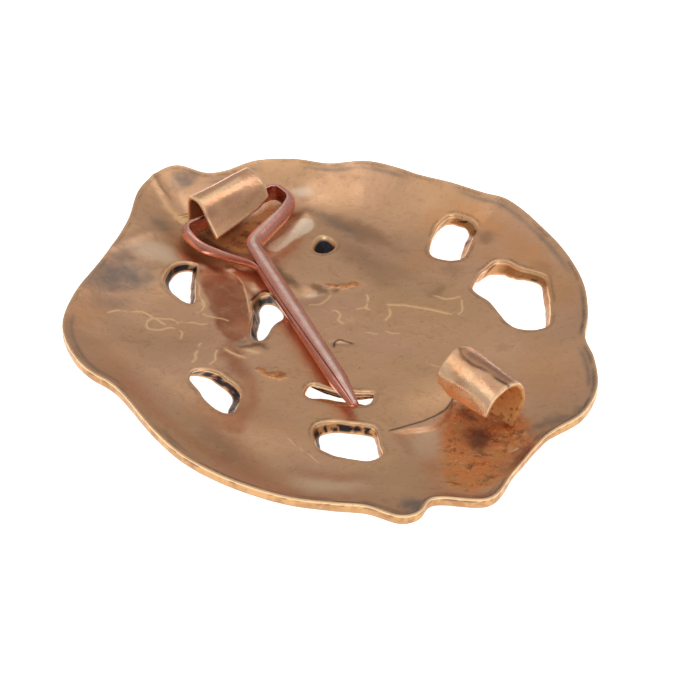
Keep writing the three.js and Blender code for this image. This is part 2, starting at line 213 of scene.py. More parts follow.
def noise2(x, y, size, seed):
    """Smooth noise between -1 and 1 with lumps of the given size."""
    grid = np.random.default_rng(seed).uniform(-1, 1, (64, 64))
    u, v = x / size + 640.3, y / size + 640.7
    i, j = np.floor(u).astype(int), np.floor(v).astype(int)
    fu, fv = u - i, v - j
    fu, fv = fu * fu * (3 - 2 * fu), fv * fv * (3 - 2 * fv)
    i0, i1, j0, j1 = i % 64, (i + 1) % 64, j % 64, (j + 1) % 64
    low = grid[i0, j0] * (1 - fu) + grid[i1, j0] * fu
    high = grid[i0, j1] * (1 - fu) + grid[i1, j1] * fu
    return low * (1 - fv) + high * fv


def noise_pair(x, y, size, seed):
    """Two noises side by side, to shift points in plan."""
    return np.stack([noise2(x, y, size, seed), noise2(x, y, size, seed + 1)], axis=1)


def smooth(low, high, value):
    """0 at low and 1 at high, with an easy curve between; low may be the greater."""
    t = np.clip((value - low) / (high - low), 0, 1)
    return t * t * (3 - 2 * t)


def region(points, corners, soft):
    """1 inside a closed loop, fading to 0 over the soft distance across its edge."""
    loop = catmull(corners, 4, True)
    d = loop_distance(points, loop, 2.0)
    return smooth(soft, -soft, np.where(inside(points, loop), -d, d))


def band(distance, middle, half):
    """1 at the middle distance, fading to 0 past the half width on either side."""
    return np.exp(-((distance - middle) / half) ** 2)


def blob(points, x, y, a, b, turn=0.0, power=1.0):
    """Soft elliptical patch: 1 in the middle, fading to 0 past its half axes."""
    c, s = math.cos(math.radians(turn)), math.sin(math.radians(turn))
    dx, dy = points[:, 0] - x, points[:, 1] - y
    r = ((dx * c + dy * s) / a) ** 2 + ((dy * c - dx * s) / b) ** 2
    return np.exp(-r ** power)


# ------------------------------------------------------------------ meshes


def make_mesh(name, points, faces, material, body, nodes, marks=None):
    """A smooth mesh piece from millimetre points, with one float attribute for each mark."""
    mesh = bpy.data.meshes.new(name)
    mesh.from_pydata((np.asarray(points) * MM).tolist(), [], faces)
    for key, values in (marks or {}).items():
        mesh.attributes.new(key, "FLOAT", "POINT").data.foreach_set("value", np.asarray(values, np.float32))
    mesh.materials.append(material)
    mesh.shade_smooth()
    piece = bpy.data.objects.new(name, mesh)
    bpy.context.scene.collection.objects.link(piece)
    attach(piece, body)
    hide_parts(*nodes)
    return piece


def tube_faces(rings, around):
    """Quads over rings of points, with both ends closed by quads across the ring."""
    faces = []
    for r in range(rings - 1):
        for i in range(around):
            j = (i + 1) % around
            faces.append((r * around + i, r * around + j, (r + 1) * around + j, (r + 1) * around + i))
    last = (rings - 1) * around
    for i in range(around // 2 - 1):
        a, b, c, d = i, i + 1, around - 2 - i, around - 1 - i
        faces.append((d, c, b, a))
        faces.append((last + a, last + b, last + c, last + d))
    return faces


# ------------------------------------------------------------------ node helpers


class Nodes:
    """Short ways to add shader nodes to one material or world."""

    def __init__(self, owner, place="Object"):
        owner.use_nodes = True
        self.owner, self.tree = owner, owner.node_tree
        self.tree.nodes.clear()
        self.place = self.add("ShaderNodeTexCoord").outputs[place]

    def add(self, kind, **settings):
        node = self.tree.nodes.new(kind)
        for key, value in settings.items():
            setattr(node, key, value)
        return node

    def feed(self, socket, value):
        if isinstance(value, bpy.types.NodeSocket):
            self.tree.links.new(value, socket)
        else:
            socket.default_value = value

    def math(self, operation, a, b=0.0, clamp=False):
        node = self.add("ShaderNodeMath", operation=operation, use_clamp=clamp)
        self.feed(node.inputs[0], a)
        self.feed(node.inputs[1], b)
        return node.outputs[0]

    def times(self, a, b):
        return self.math("MULTIPLY", a, b)

    def most(self, a, b):
        return self.math("MAXIMUM", a, b)

    def noise(self, size_mm, detail=3.0, rough=0.55, warp=0.0, stretch=None):
        """Noise between 0 and 1 whose lumps are about size_mm across."""
        node = self.add("ShaderNodeTexNoise")
        place = self.place
        if stretch:
            mapping = self.add("ShaderNodeMapping")
            self.feed(mapping.inputs["Vector"], place)
            mapping.inputs["Scale"].default_value = stretch
            place = mapping.outputs["Vector"]
        self.feed(node.inputs["Vector"], place)
        node.inputs["Scale"].default_value = 1 / (size_mm * MM)
        node.inputs["Detail"].default_value = detail
        node.inputs["Roughness"].default_value = rough
        node.inputs["Distortion"].default_value = warp
        return node.outputs["Fac"]

    def range(self, value, low, high, to_low=0.0, to_high=1.0):
        node = self.add("ShaderNodeMapRange", interpolation_type="SMOOTHSTEP")
        self.feed(node.inputs["Value"], value)
        for key, number in (("From Min", low), ("From Max", high), ("To Min", to_low), ("To Max", to_high)):
            node.inputs[key].default_value = number
        return node.outputs["Result"]

    def mix(self, share, a, b):
        node = self.add("ShaderNodeMix", data_type="RGBA")
        self.feed(node.inputs["Factor"], share)
        self.feed(node.inputs["A"], a)
        self.feed(node.inputs["B"], b)
        return node.outputs["Result"]

    def mark(self, name):
        return self.add("ShaderNodeAttribute", attribute_name=name).outputs["Fac"]

    def bump(self, height, depth_mm, under=None):
        node = self.add("ShaderNodeBump")
        node.inputs["Strength"].default_value = 1.0
        node.inputs["Distance"].default_value = depth_mm * MM
        self.feed(node.inputs["Height"], height)
        if under is not None:
            self.feed(node.inputs["Normal"], under)
        return node.outputs["Normal"]

    def finish(self, colour, roughness, normal, metallic=1.0):
        shader = self.add("ShaderNodeBsdfPrincipled")
        self.feed(shader.inputs["Base Color"], colour)
        self.feed(shader.inputs["Roughness"], roughness)
        self.feed(shader.inputs["Normal"], normal)
        self.feed(shader.inputs["Metallic"], metallic)
        self.feed(self.add("ShaderNodeOutputMaterial").inputs["Surface"], shader.outputs[0])
        return self.owner


# ------------------------------------------------------------------ materials

BRONZE_PINK, BRONZE_TAN, BRONZE_DARK = (0.83, 0.48, 0.29, 1), (0.79, 0.46, 0.25, 1), (0.46, 0.26, 0.15, 1)
# GOLD paints worn edges, and a highlight along them
GOLD, SIDE_GOLD, SIDE_BROWN = (0.96, 0.66, 0.38, 1), (0.62, 0.36, 0.16, 1), (0.42, 0.22, 0.10, 1)
# SHADE_BROWN paints shade, and the pale colour after it paints glare, a highlight, onto the back
WARM_ORANGE, SHADE_BROWN, PAINTED_GLARE_PALE = (0.82, 0.40, 0.18, 1), (0.28, 0.14, 0.07, 1), (1.0, 0.76, 0.54, 1)
# the pale scratch colour also paints highlights along ridges and edges
TARNISH_GREY, SCRATCH_AND_GLINT_PALE = (0.23, 0.19, 0.17, 1), (1.0, 0.66, 0.34, 1)
STAIN_RED, STAIN_ROSE = (0.44, 0.15, 0.07, 1), (0.64, 0.26, 0.13, 1)
EMBER_BROWN, EMBER_DARK = (0.88, 0.36, 0.12, 1), (0.30, 0.08, 0.04, 1)
RUST_ORANGE, RUST_TAN, RUST_DARK = (0.78, 0.27, 0.08, 1), (0.68, 0.31, 0.11, 1), (0.22, 0.07, 0.03, 1)
# near black: pits, dark lines and darker void walls, and painted shade along the step and in the pin's seam
RUST_GOLD, NEAR_BLACK = (1.0, 0.55, 0.22, 1), (0.028, 0.026, 0.032, 1)
GILT_PINK, GILT_TAN, GILT_WORN = (0.96, 0.53, 0.32, 1), (0.94, 0.50, 0.25, 1), (0.66, 0.33, 0.17, 1)
# on the lugs the brown is partly painted shade, and the cream a painted highlight
GILT_BROWN, GILT_CREAM, GILT_INSIDE = (0.56, 0.28, 0.17, 1), (1.0, 0.67, 0.40, 1), (0.92, 0.50, 0.18, 1)
COPPER_PINK, COPPER_ROSE, COPPER_RED = (0.90, 0.43, 0.34, 1), (0.82, 0.34, 0.26, 1), (0.55, 0.18, 0.13, 1)
# pale copper paints a highlight along the wire's top, dark copper paints shade in its seam
COPPER_PALE, COPPER_DARK = (1.0, 0.74, 0.62, 1), (0.20, 0.07, 0.045, 1)


def plate_material():
    n = Nodes(bpy.data.materials.new("struck_bronze"))
    cloud, mottle = n.noise(7, 4), n.noise(1.3, 5, 0.65, 0.4)
    speck, grain = n.noise(0.35, 3, 0.7), n.noise(0.09, 2)
    colour = n.mix(n.range(cloud, 0.35, 0.65), BRONZE_PINK, BRONZE_TAN)
    colour = n.mix(n.times(n.range(mottle, 0.52, 0.72), 0.38), colour, BRONZE_DARK)
    colour = n.mix(n.times(n.range(speck, 0.56, 0.70), 0.35), colour, BRONZE_DARK)
    colour = n.mix(n.mark("warm"), colour, WARM_ORANGE)
    colour = n.mix(n.mark("shade"), colour, SHADE_BROWN)
    # painted glare: pale, less metallic highlight patches on the back
    colour = n.mix(n.mark("painted_glare"), colour, PAINTED_GLARE_PALE)
    grey = n.times(n.mark("tarnish"), n.range(mottle, 0.2, 0.6, 0.6, 1.0))
    colour = n.mix(grey, colour, TARNISH_GREY)
    stained = n.times(n.mark("stain"), n.range(mottle, 0.25, 0.6, 0.6, 1.0))
    colour = n.mix(stained, colour, n.mix(n.range(cloud, 0.4, 0.6), STAIN_RED, STAIN_ROSE))
    colour = n.mix(n.mark("ember"), colour, n.mix(n.range(mottle, 0.46, 0.72), EMBER_BROWN, EMBER_DARK))
    crust, flecks = n.noise(1.6, 7, 0.62, 0.4), n.noise(1.0, 7, 0.75, 0.2)
    rusty = n.times(n.mark("rust"), n.range(mottle, 0.2, 0.5, 0.7, 1.0))
    crust_colour = n.mix(n.range(crust, 0.36, 0.60), RUST_TAN, RUST_ORANGE)
    crust_colour = n.mix(n.times(n.range(flecks, 0.48, 0.66), 0.8), crust_colour, RUST_DARK)
    crust_colour = n.mix(n.range(speck, 0.60, 0.70), crust_colour, RUST_GOLD)
    crust_colour = n.mix(n.times(n.mark("shade"), 0.95), crust_colour, RUST_DARK)
    colour = n.mix(rusty, colour, crust_colour)
    side = n.mix(n.range(crust, 0.40, 0.62), SIDE_GOLD, SIDE_BROWN)
    colour = n.mix(n.mark("side"), colour, n.mix(n.mark("shade"), side, SIDE_BROWN))
    # bright edges: worn, and a painted highlight along them
    colour = n.mix(n.mark("bright"), colour, GOLD)
    # scratches, and painted highlight lines along ridges, edges and the dimple
    colour = n.mix(n.mark("scratch"), colour, SCRATCH_AND_GLINT_PALE)
    pits = n.times(n.range(speck, 0.725, 0.765), n.range(cloud, 0.45, 0.6))
    # near black: pits, dark lines and darker void walls, with painted shade along the step
    colour = n.mix(n.most(n.mark("soot"), pits), colour, NEAR_BLACK)
    rough = n.range(mottle, 0.3, 0.7, 0.34, 0.44)
    rough = n.math("ADD", rough, n.times(rusty, 0.25))
    rough = n.math("ADD", rough, n.times(n.mark("painted_glare"), -0.08))
    rough = n.math("ADD", rough, n.times(n.mark("scratch"), 0.15), clamp=True)
    dull = n.most(n.times(rusty, 0.5), n.times(n.mark("scratch"), 0.45))
    dull = n.most(dull, n.times(n.mark("painted_glare"), 0.5))
    dull = n.most(dull, n.times(n.mark("ember"), 0.7))
    normal = n.bump(grain, 0.006)
    normal = n.bump(mottle, 0.05, under=normal)
    normal = n.bump(n.times(crust, n.mark("rust")), 0.28, under=normal)
    return n.finish(colour, rough, normal, n.math("SUBTRACT", 1.0, dull))


def lug_material():
    n = Nodes(bpy.data.materials.new("gilt_sheet"))
    cloud, speck, grain = n.noise(3, 4, 0.6, 0.5), n.noise(0.4, 4, 0.65), n.noise(0.08, 2)
    colour = n.mix(n.range(cloud, 0.35, 0.7), GILT_PINK, GILT_TAN)
    colour = n.mix(n.times(n.range(speck, 0.54, 0.70), 0.5), colour, GILT_WORN)
    # brown bands, partly painted shade on the roof's lower side
    browned_and_shaded = n.times(n.mark("dull"), n.range(speck, 0.25, 0.6, 0.7, 1.0))
    colour = n.mix(browned_and_shaded, colour, GILT_BROWN)
    # painted highlight bands along the lugs' bends and cut ends
    colour = n.mix(n.mark("pale"), colour, GILT_CREAM)
    inside = n.mix(n.times(n.range(speck, 0.50, 0.66), 0.8), GILT_INSIDE, STAIN_RED)
    # darker inside the hinge lug's curl
    inside = n.mix(n.mark("grime"), inside, EMBER_DARK)
    colour = n.mix(n.mark("inner"), colour, inside)
    colour = n.mix(n.mark("soot"), colour, NEAR_BLACK)
    rough = n.range(cloud, 0.3, 0.7, 0.22, 0.32)
    rough = n.math("ADD", rough, n.times(n.mark("inner"), 0.25))
    normal = n.bump(grain, 0.005)
    normal = n.bump(n.noise(0.8, 3), 0.05, under=normal)
    dull = n.times(n.mark("inner"), 0.55)
    dull = n.most(dull, n.times(n.mark("pale"), 0.6))
    return n.finish(colour, rough, normal, n.math("SUBTRACT", 1.0, dull))


def pin_material():
    n = Nodes(bpy.data.materials.new("copper_wire"))
    cloud, blotch = n.noise(4, 3), n.noise(0.8, 4, 0.6, 0.3)
    streak = n.noise(0.5, 4, 0.6, 0.2, stretch=(0.15, 1.0, 1.0))
    colour = n.mix(n.range(cloud, 0.35, 0.65), COPPER_PINK, COPPER_ROSE)
    colour = n.mix(n.times(n.range(streak, 0.52, 0.7), 0.45), colour, COPPER_RED)
    colour = n.mix(n.times(n.range(blotch, 0.6, 0.75), 0.35), colour, COPPER_RED)
    # painted highlight along the wire's top, also taken as burnish
    sheen_and_wear = n.times(n.mark("sheen_and_wear"), n.range(blotch, 0.3, 0.6, 1.0, 0.65))
    colour = n.mix(sheen_and_wear, colour, COPPER_PALE)
    # painted shade in the seam between the two legs
    colour = n.mix(n.mark("soot"), colour, COPPER_DARK)
    rough = n.range(streak, 0.3, 0.7, 0.22, 0.34)
    normal = n.bump(n.noise(0.12, 3), 0.004, under=n.bump(streak, 0.03))
    return n.finish(colour, rough, normal, n.math("SUBTRACT", 1.0, n.times(sheen_and_wear, 0.65)))


# ------------------------------------------------------------------ badge plate

FINE, RIM_SPACING, VOID_SPACING = 0.2, 0.22, 0.15    # of the points on the surface, the rim and the voids
EDGE_ROUND, VOID_ROUND = 0.16, 0.2
ROUND_STEPS = (0.2, 0.6, 1.0)                        # places of the points across a rounded edge
VOID_REACH, SLANT_REACH = 2.0, 1.8                   # how far from a void its distance and its slant count
WALL_ROWS, LEAST_EDGE = 4, 0.1                       # rows of points in a wall, and its least height
FACE_TARNISH, VOID_SHADE = 0.75, 0.6                 # between the leaves, and on the voids' walls
THIN_PATCH, THINNING = (7.2, -5.2, 3.6, 2.8), 0.5    # where the face is struck thin: x, y, half axes
FACE_BEAD = (0.12, 0.9, 0.35)                        # height, distance from the rim, half width
BOSS_CUTS = [(0.22, 0.86, 0.03), (0.12, 0.76, 0.018)]  # depth, share of the boss's axes, half width
WAVES = [(0.035, 4.2, 1), (0.012, 1.4, 2)]           # unevenness of the back: height, size, seed
LEAF_RIB, LEAF_VEIN = (0.24, 0.07), (0.12, 22, 0.55)  # depth and half width; depth, closeness and slope


def fitted_outline():
    """The outline brought to the plate's stated length and width, centred on the origin."""
    coarse = catmull(OUTLINE, 3, True)
    low, high = coarse.min(axis=0), coarse.max(axis=0)
    fine = spaced(catmull(OUTLINE, 16, True), RIM_SPACING, closed=True)
    return [(line - (low + high) / 2) * PLATE_SIZE / (high - low) for line in (fine, coarse)]


RIM, RIM_COARSE = fitted_outline()


def rough_loop(points, seed):
    """A void's edge as it was cut, with slight nicks."""
    loop = spaced(catmull(points, 12, True), VOID_SPACING, closed=True)
    out = loop - loop.mean(axis=0)
    wobble = 0.05 * noise2(loop[:, 0] + seed, loop[:, 1], 0.7, seed)
    return loop + out / np.linalg.norm(out, axis=1)[:, None] * wobble[:, None]


VOID_LOOPS = [rough_loop(points, 40 + i) for i, points in enumerate(VOIDS)]

# Relief left in the back by the struck face: [line, half width, height].
RIDGES = [
    ([(-14.6, 8.2), (-13.9, 6), (-12.9, 3.4), (-12.4, 1.9)], 0.75, 0.36),
    ([(-12.9, -1.2), (-11, -2.4), (-8.4, -2.9), (-6.1, -4.3)], 0.35, 0.14),
    ([(-26.2, 0.8), (-24.8, 0.35), (-23.5, 0.3)], 0.3, 0.12),
    ([(-20, -2.3), (-20.2, -5), (-19.8, -8.2)], 0.45, 0.12),
    ([(13, -15.5), (15.4, -14.2), (17, -12)], 1.1, 0.2),
    ([(-16.8, -9), (-14.6, -13.2), (-12, -16.6)], 1.3, -0.14),
    ([(-2.5, -8.9), (-3.6, -8.6), (-4.2, -7.8)], 0.25, 0.1),
]
# Soft bumps and dimples: [x, y, half length, half width, turn, height].
BUMPS = [
    (-12.3, -1.5, 0.55, 0.4, 30, 0.16), (-9.5, -1.5, 0.7, 0.4, -20, 0.16), (-5.2, 1.0, 1.1, 1.3, 0, -0.3),
    (-4.6, 4.0, 0.5, 0.35, 20, 0.08), (1.2, -8.3, 1.0, 0.6, 10, 0.08), (0, 1.2, 0.9, 0.5, -30, -0.06),
    (-17.5, 10.2, 2.6, 1.6, 40, 0.22), (13.5, 7.5, 4.5, 3.2, 20, -0.16), (2.5, 7.0, 4.2, 2.6, -10, 0.12),
    (-20, -8.5, 3, 2, -60, -0.15), (6.5, -13, 3, 1.6, 10, 0.14), (1.5, -1.2, 0.8, 0.25, 45, -0.12),
    (18.5, -9.5, 2.4, 1.6, -50, 0.15), (-3, 10, 3.4, 1.4, 12, -0.14), (22.3, 0.2, 0.5, 0.4, 0, 0.18),
]
STEP_LINE = [(13.0, 1.2), (13.2, 0.8), (14.1, -0.8), (14.2, -2), (13.6, -4), (13.1, -6)]
STEP_DROP = 0.22


def rim_distance(points):
    """Distance to the plate's outline, exact where it is small."""
    d = loop_distance(points, RIM_COARSE)
    near = d < 1.0
    d[near] = loop_distance(points[near], RIM)
    return d


def void_distance(points):
    """Distance to the nearest void's edge, up to VOID_REACH."""
    return np.min([loop_distance(points, loop, VOID_REACH) for loop in VOID_LOOPS], axis=0)


def back_height(points, rim):
    """The back's surface, without the rounding at its edges."""
    z = BACK_LEVEL + RIM_RISE * np.clip(1 - rim / RIM_BAND, 0, None) ** 2
    for cx, cy, a, b, depth in HOLLOWS:
        z -= depth * blob(points, cx, cy, a, b, power=2)
    for line, width, height in RIDGES:
        d, _, _ = line_distance(points, catmull(line, 6, False))
        z += height * np.exp(-(d / width) ** 2)
    for x, y, a, b, turn, height in BUMPS:
        z += height * blob(points, x, y, a, b, turn)
    d, share, side = line_distance(points, catmull(STEP_LINE, 5, False))
    fade = np.exp(-(np.maximum(d - 0.4, 0) / 2.2) ** 2) * smooth(0, 0.1, share) * smooth(1, 0.85, share)
    z -= STEP_DROP * smooth(-0.12, 0.18, side * d) * fade
    z += sum(height * noise2(points[:, 0], points[:, 1], size, seed) for height, size, seed in WAVES)
    return z


def leaf_relief(points):
    """Depth of the wreath's leaves, with a midrib and side veins cut into each."""
    depth = np.zeros(len(points))
    (rib_depth, rib_half), (vein_depth, closeness, slope) = LEAF_RIB, LEAF_VEIN
    for i in range(WREATH["leaves"]):
        angle = 2 * math.pi * i / WREATH["leaves"]
        turn = math.atan2(WREATH["b"] * math.cos(angle), -WREATH["a"] * math.sin(angle)) + WREATH["splay"]
        dx, dy = points[:, 0] - WREATH["a"] * math.cos(angle), points[:, 1] - WREATH["b"] * math.sin(angle)
        along = (dx * math.cos(turn) + dy * math.sin(turn)) / (WREATH["length"] / 2)
        across = (dy * math.cos(turn) - dx * math.sin(turn)) / (WREATH["width"] / 2)
        dome = 1 - along ** 2 - across ** 2
        rib = rib_depth * np.exp(-(across / rib_half) ** 2)
        veins = np.cos(closeness * (along - slope * np.abs(across)))
        vein = vein_depth * smooth(0.55, 0.95, veins) * smooth(0, 0.3, dome)
        leaf = WREATH["depth"] * np.clip(dome, 0, None) ** 0.8 - np.where(dome > 0, rib + vein, 0)
        depth = np.maximum(depth, leaf)
    return depth


def face_height(points, back, rim):
    """The face, which looks down: plain field, leaves, and the boss with its flat top and a cut border."""
    reach = np.hypot((points[:, 0] - BOSS["x"]) / BOSS["a"], (points[:, 1] - BOSS["y"]) / BOSS["b"])
    near_rim = np.clip(1 - rim / RIM_BAND, 0, None)
    gauge = GAUGE - RIM_THINNING * near_rim + leaf_relief(points) * (1 - near_rim)
    gauge += FACE_BEAD[0] * band(rim, *FACE_BEAD[1:]) - THINNING * blob(points, *THIN_PATCH, power=2)
    field = BACK_LEVEL + RIM_RISE * near_rim ** 2 - gauge
    boss = (reach - 1) * BOSS["b"] * (BACK_LEVEL - GAUGE) / BOSS["shoulder"]
    border = sum(depth * band(reach, at, half) for depth, at, half in BOSS_CUTS)
    z = np.maximum(0, np.minimum(np.minimum(field, boss), back - LEAST_WALL))
    z += border + 0.012 * (noise2(points[:, 0], points[:, 1], 0.5, 7) + 1) * (reach > 1.15)
    return z


def edge_drop(d, radius):
    """How far a rounded edge falls at distance d from the wall."""
    inner = np.clip(radius - d, 0, radius)
    return radius - np.sqrt(radius ** 2 - inner ** 2)


# How the walls of each void run down to the face: (widening, shift along X, shift along Y).
VOID_SLANTS = [
    (-0.2, -0.5, -0.2), (0.15, -0.2, -0.5), (-0.75, 0.5, -0.4), (-0.4, -0.3, 0.2),
    (0.0, -0.2, 0.9), (0.5, -0.9, 1.25), (-0.3, 0.0, 0.2), (-0.05, -0.9, -0.15),
]
# How dark each void's walls are, in patches; at 1 they are wholly black.
WALL_DARKENING = [0.2, 0.2, 1.0, 0.9, 0.85, 0.2, 0.75, 0.85]


def undercut(points):
    """Where each point of the face lies: moved near the voids as their walls slant."""
    moved = points.copy()
    for loop, (flare, dx, dy) in zip(VOID_LOOPS, VOID_SLANTS):
        d = loop_distance(points, loop, SLANT_REACH)
        near = d < SLANT_REACH
        nearest = nearest_index(points[near], loop)
        out = points[near] - loop[nearest]
        length = np.linalg.norm(out, axis=1)[:, None]
        away = np.where(length > 1e-4, out / np.maximum(length, 1e-4), out_of(loop)[nearest])
        moved[near] += (away * flare + (dx, dy)) * (1 - d[near] / SLANT_REACH)[:, None]
    return moved


def ring_points(loop, offsets, into):
    """Points alongside a loop at the given distances, on its inner (+1) or outer (-1) side."""
    way = -out_of(loop) * into
    return [loop + way * offset for offset in offsets]


# Fine scratches of the back: the line that each follows, and its half width.
SCRATCHES = [
    ([(-14.2, -13.2), (-14.0, -12.6), (-13.2, -12), (-12.5, -11.2), (-11.4, -10.9), (-10, -10.8)], 0.10),
    ([(-11.0, -11.0), (-10.2, -9.9), (-9.2, -9.9)], 0.08),
    ([(-11.2, -11), (-10.9, -11.9), (-10.2, -12.2), (-9.7, -11.7), (-9.3, -10.7)], 0.10),
    ([(-9.0, -10.5), (-8.0, -10.4), (-7.5, -11.0)], 0.07),
    ([(-9.2, -9.6), (-8.5, -8.9), (-7.9, -8.1)], 0.09),
    ([(-5.8, -10.2), (-4.9, -11.4), (-4.4, -12.1)], 0.10),
    ([(-3.2, -11.2), (-3.6, -10.3), (-4.3, -9.7)], 0.08),
    ([(-10.5, -6.2), (-9.9, -6.4), (-9.3, -7.2)], 0.07),
    ([(-9.4, -7.6), (-8.1, -7.0), (-6.9, -6.3)], 0.07),
    ([(-2.4, 1.4), (-1.5, 1.2), (-1.1, 0.6), (-0.3, 0.7)], 0.09),
    ([(-2.1, 4.6), (-1.4, 4.2), (-0.9, 3.5), (-0.2, 3.6)], 0.09),
    ([(-0.9, 3.6), (-1.2, 3.0)], 0.07),
    ([(0.1, 5.4), (0.9, 6.2), (2.6, 7.4), (4.2, 8.3)], 0.12),
    ([(4.6, 8.9), (4.3, 9.8), (3.4, 10.4)], 0.07),
    ([(1.6, 9.2), (2.5, 9.6), (3.0, 10.5)], 0.10),
    ([(0.3, 5.2), (1.1, 4.4), (1.5, 3.7)], 0.10),
    ([(1.6, 1.4), (2.4, 2.0)], 0.06),
    ([(2.8, 2.6), (3.6, 3.3)], 0.06),
    ([(8, 2.5), (10.5, 3.2), (12.2, 3.1)], 0.05),
    ([(-19.5, -12.4), (-17.6, -13.6)], 0.05),
    ([(8.5, -12.8), (12.5, -12.9)], 0.04),
]
SCRATCH_ROWS = (-2.2, -1.0, 0.0, 1.0, 2.2)      # rows of points beside a scratch, in half widths


def drawn_path(line, spacing):
    """A fine mark's own wavering line, as it seems from the camera's side; long ones waver less."""
    path = spaced(catmull(line, 8, False), spacing)
    x, y = path[:, 0], path[:, 1]
    waver = 0.16 if len(path) * spacing < 5 else 0.04
    return path + waver * noise_pair(x, y, 0.6, 31)


def scratch_points():
    """Rows of points along each fine line, so that its mark is drawn sharply."""
    rows = []
    for line, width in SURFACE_LINES:
        path = true_place(drawn_path(line, 0.12))
        rows += [path + left_of(path) * width * row for row in SCRATCH_ROWS]
    return np.vstack(rows)


def plate_points():
    """All points of the plate's surfaces seen from above, and the constraint edges of its loops."""
    loops = [RIM] + VOID_LOOPS
    fixed, edges, start = [], [], 0
    for loop in loops:
        fixed.append(loop)
        edges += [(start + i, start + (i + 1) % len(loop)) for i in range(len(loop))]
        start += len(loop)
    rings = []
    for loop, radius, into in [(RIM, EDGE_ROUND, 1)] + [(v, VOID_ROUND, -1) for v in VOID_LOOPS]:
        for offset, ring in zip(ROUND_STEPS, ring_points(loop, [radius * s for s in ROUND_STEPS], into)):
            rings.append(ring[nearest_edge(ring) > 0.8 * offset * radius])
    marks = scratch_points()
    marks = marks[nearest_edge(marks) > 0.3]
    low, high = RIM.min(axis=0), RIM.max(axis=0)
    x, y = np.meshgrid(np.arange(low[0], high[0], FINE), np.arange(low[1], high[1], FINE * 0.87))
    x = x + (np.arange(x.shape[0]) % 2)[:, None] * FINE / 2
    field = np.stack([x.ravel(), y.ravel()], axis=1)
    field = field[inside(field, RIM_COARSE)]
    field = field[nearest_edge(field) > EDGE_ROUND + 0.1]
    for line, width in SURFACE_LINES:
        drawn = true_place(drawn_path(line, 0.5))
        field = field[line_distance(field, drawn)[0] > 2.2 * width + 0.1]
    return np.vstack(fixed + rings + [marks, field]), edges


def nearest_edge(points):
    """Distance to the nearest edge, of the rim or of a void."""
    return np.minimum(rim_distance(points), void_distance(points))


SIGHT = np.array([-1.016, 0.853])      # sideways run of the camera's line of sight for each unit of height


def true_place(seen):
    """The surface point that seems to lie at the given place on the flat back."""
    points = seen
    for _ in range(5):
        points = seen - SIGHT * (back_height(points, rim_distance(points)) - BACK_LEVEL)[:, None]
    return points


def apparent(points, z):
    """Where a surface point seems to lie on the flat back when seen from the camera's side."""
    return points + SIGHT * (z - BACK_LEVEL)[:, None]


